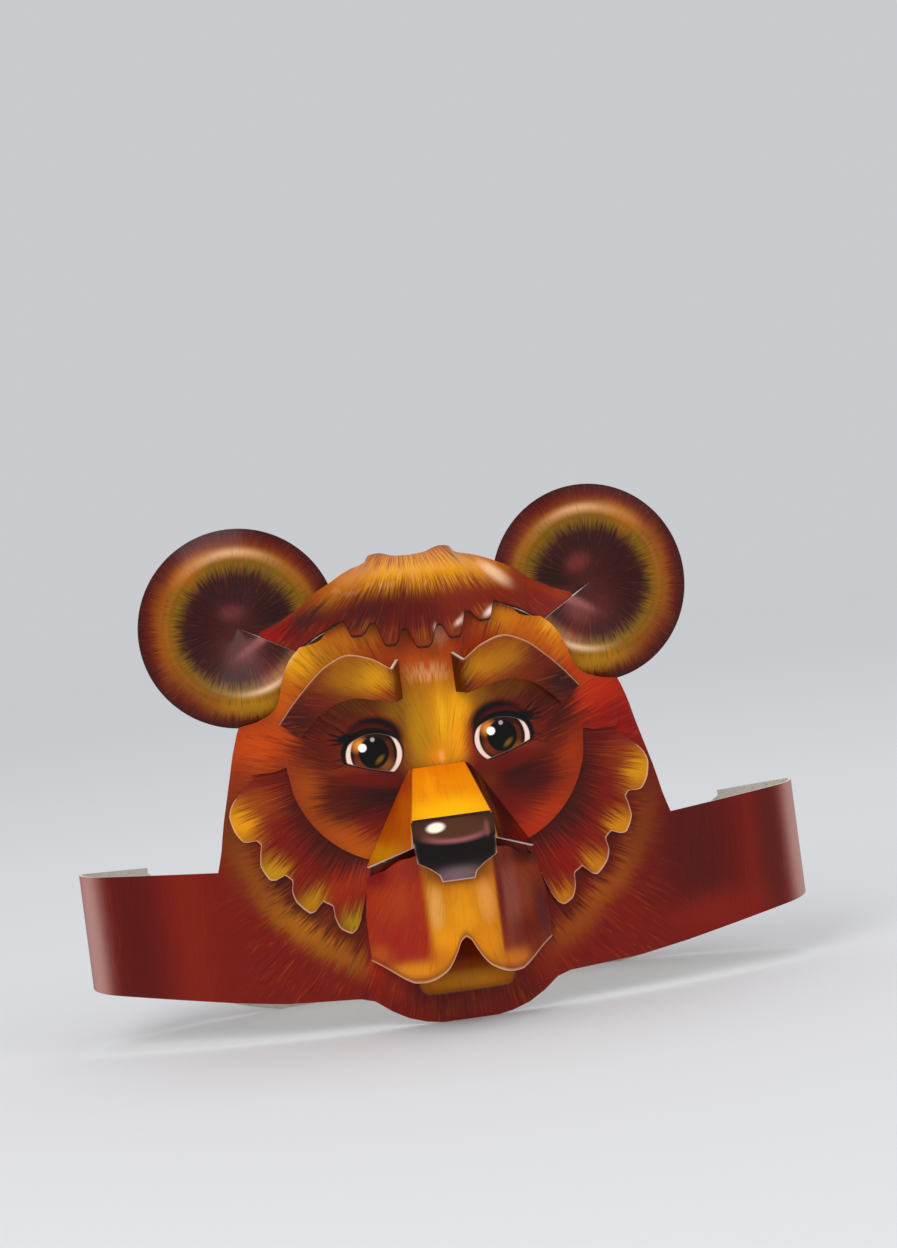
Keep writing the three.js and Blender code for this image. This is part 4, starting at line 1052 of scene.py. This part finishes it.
# Eye marks: across from the pupil towards the temple, up, half sizes, turn, colour, softness, strength, and
# where they show: everywhere, over the lower lid, or in the open eye.
EYE_MARKS = [
    (2, -9.2, 12, 3.0, 13, "6E1E16", 0.5, 0.8, "all"), (-0.8, 5.2, 9.9, 7.7, 4, "120605", 0.18, 1, "all"),
    (0.6, 5.3, 7.8, 5.0, 4, "5E1A16", 0.3, 1, "all"), (0.5, -0.1, 11.2, 9.1, 5, "0A0404", 0.04, 1, "lids"),
    (0, -0.8, 10.0, 8.8, 0, "F0D6CC", 0.03, 1, "open"), (0, -0.3, 8.3, 8.6, 0, "0A0404", 0.03, 1, "open"),
    (0, -0.3, 7.2, 7.6, 0, "5E2A16", 0.08, 1, "open"), (0, 5.6, 7.2, 2.6, 0, "1E0C06", 0.5, 0.85, "open"),
    (9.6, 6.4, 3.0, 1.5, -18, "0A0404", 0.35, 1, "all"),
    (12.6, 7.6, 3.0, 0.4, 24, "100707", 0.5, 0.9, "all"),
    (13.0, 6.2, 3.0, 0.4, 8, "100707", 0.5, 0.9, "all"),
    (12.6, 4.6, 2.6, 0.35, 2, "100707", 0.5, 0.85, "all"),
    (11.0, 9.4, 2.6, 0.35, 42, "100707", 0.5, 0.8, "all"),
    (12.6, -1.0, 2.4, 0.3, -6, "2A0F0A", 0.5, 0.6, "all"),
    (12.8, -3.4, 2.4, 0.3, -14, "2A0F0A", 0.5, 0.6, "all"),
]
# Nose marks: colour, strength, then across, up, half sizes, turn and softness.
NOSE_MARKS = [
    ("140A0A", 1, 0, 63.5, 16, 4.4, 0, 0.3), ("B47474", 0.75, 0.5, 68.0, 10.5, 2.6, 0, 0.35),
    ("5A3828", 1, 0.5, 69.8, 12, 3.0, 0, 0.3), ("8A5450", 0.8, 11.6, 69.2, 0.9, 2.6, 0, 0.6),
    ("FAF0E0", 1, -6.2, 71.4, 3.1, 1.7, 4, 0.35),
]
# The light in the eye falls from the same side on both.
EYE_LIGHTS = [
    (-4.9, 3.4, 2.3, 2.1, 30, "EC9A54", 0.9, 0.95), (4.4, -5.0, 2.4, 2.0, 40, "8A5A30", 0.8, 0.8),
    (-5.2, -3.6, 1.8, 2.4, 30, "7A3C1C", 0.8, 0.8), (0, 0, 5.4, 5.6, 0, "020101", 0.06, 1),
    (1.9, -2.7, 1.9, 0.8, 42, "8A6A2C", 0.7, 0.7), (-3.8, 2.2, 1.5, 1.5, 0, "FFFFFF", 0.2, 1),
    (0.1, 4.7, 0.8, 0.8, 0, "B8B0AC", 0.3, 0.9),
]


def eyes(ink, result):
    """The printed eyes."""
    for middle, side in ((-22.3, -1), (24.0, 1)):
        across, up = middle - side * 22.1, PUPIL_UP + 70.8
        lower, lids = (ink.spot(across, up, reach, reach, 0, 0.003) for reach in (80, 80.6))
        upper = ink.spot(middle, PUPIL_UP - 9, 15, 15.7, 0, 0.015)
        shown = {"all": None, "lids": lids, "open": ink.times(lower, upper)}
        marks = [(middle + side * x, z, w, h, side * turn, *rest) for x, z, w, h, turn, *rest in EYE_MARKS]
        marks += [(middle + x, z, *rest, "open") for x, z, *rest in EYE_LIGHTS]
        for x, z, wide, high, turn, code, soft, strength, where in marks:
            mask = ink.times(ink.spot(x, PUPIL_UP + z, wide, high, turn, soft), strength)
            if shown[where]:
                mask = ink.times(mask, shown[where])
            result = ink.over(result, code, mask)
    return result


def nose_shine(ink, result):
    """The printed shine on the nose."""
    for code, strength, *oval in NOSE_MARKS:
        result = ink.over(result, code, ink.times(ink.spot(*oval), strength))
    return result


ROOM_COLOUR = (0.94, 0.96, 1)
# Name, place, size and power, in metres and watts, and the point that they face.
LIGHTS = [
    ("key", (-0.75, -1.1, 1.25), 0.9, 9.0),
    ("fill", (1.0, -0.9, 0.8), 1.1, 2.5),
    ("top", (0.1, 0.3, 1.6), 1.2, 4.0),
]
LIGHT_AIM = (0, 0, 0.09)
# The point in millimetres that the camera faces, and how far off it stands.
CAMERA_AIM, CAMERA_AWAY = (10.3, -40.0, 141.7), 1247.0


class BEARMASK_OT_stage(MaskStep, bpy.types.Operator):
    """The floor, the light and the camera"""

    bl_idname = "bear_mask.stage"
    bl_label = "Stage"

    def build(self, sizes):
        deselect()
        bpy.ops.mesh.primitive_circle_add(vertices=128, radius=6, fill_type="NGON")
        floor = bpy.context.object
        floor.name = "floor"
        ink = Ink("floor")
        ink.feed(ink.shader, {
            "Base Color": (*sizes.floor_colour, 1), "Roughness": 0.9, "Specular IOR Level": 0.2,
        })
        room = {"Color": (*ROOM_COLOUR, 1), "Strength": sizes.room_light}
        glow = ink.node("ShaderNodeEmission", room).outputs[0]
        away = ink.length(ink.node("ShaderNodeTexCoord").outputs["Object"])
        blend = {0: ink.ramp(away, 0.35, 2.2), 1: ink.shader.outputs[0], 2: glow}
        ink.feed(ink.tree.nodes["Material Output"], {
            "Surface": ink.node("ShaderNodeMixShader", blend).outputs[0],
        })
        floor.data.materials.append(ink.material)
        world = bpy.data.worlds.new("studio")
        bpy.context.scene.world = world
        world.use_nodes = True
        ink.feed(world.node_tree.nodes["Background"], room)
        for name, place, size, power in LIGHTS:
            bpy.ops.object.light_add(type="AREA", location=place)
            light = bpy.context.object
            light.name = name
            light.data.size = size
            light.data.energy = power
            light.rotation_euler = (Vector(LIGHT_AIM) - Vector(place)).to_track_quat("-Z", "Y").to_euler()
        bpy.ops.object.camera_add()
        camera = bpy.context.object
        camera.name = "camera"
        yaw, roll = sizes.camera_yaw, sizes.camera_roll
        ahead = Vector((math.sin(yaw), math.cos(yaw), 0))
        level = Vector((math.cos(yaw), -math.sin(yaw), 0))
        right = math.cos(roll) * level - math.sin(roll) * Vector((0, 0, 1))
        above = math.sin(roll) * level + math.cos(roll) * Vector((0, 0, 1))
        place = Vector(CAMERA_AIM) - ahead * CAMERA_AWAY
        turned = Matrix((right, above, -ahead)).transposed().to_4x4()
        pose = STAND @ Matrix.Translation(place) @ turned
        pose.translation *= MM
        camera.matrix_world = pose
        camera.data.lens = 100
        camera.data.sensor_width = 36
        bpy.context.scene.camera = camera
        bpy.context.scene.view_settings.view_transform = "Standard"


class BearMaskSettings(bpy.types.PropertyGroup):
    gloss: FloatProperty(
        name="Gloss", description="Weight of the clear coat over the print", default=0.18, min=0, max=1
    )
    floor_colour: FloatVectorProperty(
        name="Floor", description="Colour of the floor", default=(0.8, 0.8, 0.8), size=3, subtype="COLOR"
    )
    room_light: FloatProperty(name="Room light", description="Strength of the pale room", default=0.62, min=0)
    camera_yaw: FloatProperty(
        name="Camera yaw", description="Turn of the camera round the mask",
        default=math.radians(5), subtype="ANGLE",
    )
    camera_roll: FloatProperty(
        name="Camera roll", description="Tilt of the picture", default=math.radians(7.5), subtype="ANGLE"
    )


STEPS = (
    BEARMASK_OT_face, BEARMASK_OT_strap, BEARMASK_OT_crown, BEARMASK_OT_ears, BEARMASK_OT_brows,
    BEARMASK_OT_ruffs, BEARMASK_OT_snout, BEARMASK_OT_nose, BEARMASK_OT_lips, BEARMASK_OT_stage,
)


class BEARMASK_PT_panel(bpy.types.Panel):
    """The mask's pieces and settings"""

    bl_label = "Bear mask"
    bl_space_type = "VIEW_3D"
    bl_region_type = "UI"
    bl_category = "Bear mask"

    def draw(self, context):
        for step in STEPS:
            self.layout.operator(step.bl_idname)
        for name in BearMaskSettings.__annotations__:
            self.layout.prop(context.scene.bear_mask, name)


CLASSES = (BearMaskSettings, *STEPS, BEARMASK_PT_panel)


def register():
    for each in CLASSES:
        bpy.utils.register_class(each)
    bpy.types.Scene.bear_mask = PointerProperty(type=BearMaskSettings)


def unregister():
    del bpy.types.Scene.bear_mask
    for each in reversed(CLASSES):
        bpy.utils.unregister_class(each)


def main():
    register()
    for step in STEPS:
        group, name = step.bl_idname.split(".")
        getattr(getattr(bpy.ops, group), name)()


if __name__ == "__main__":
    main()
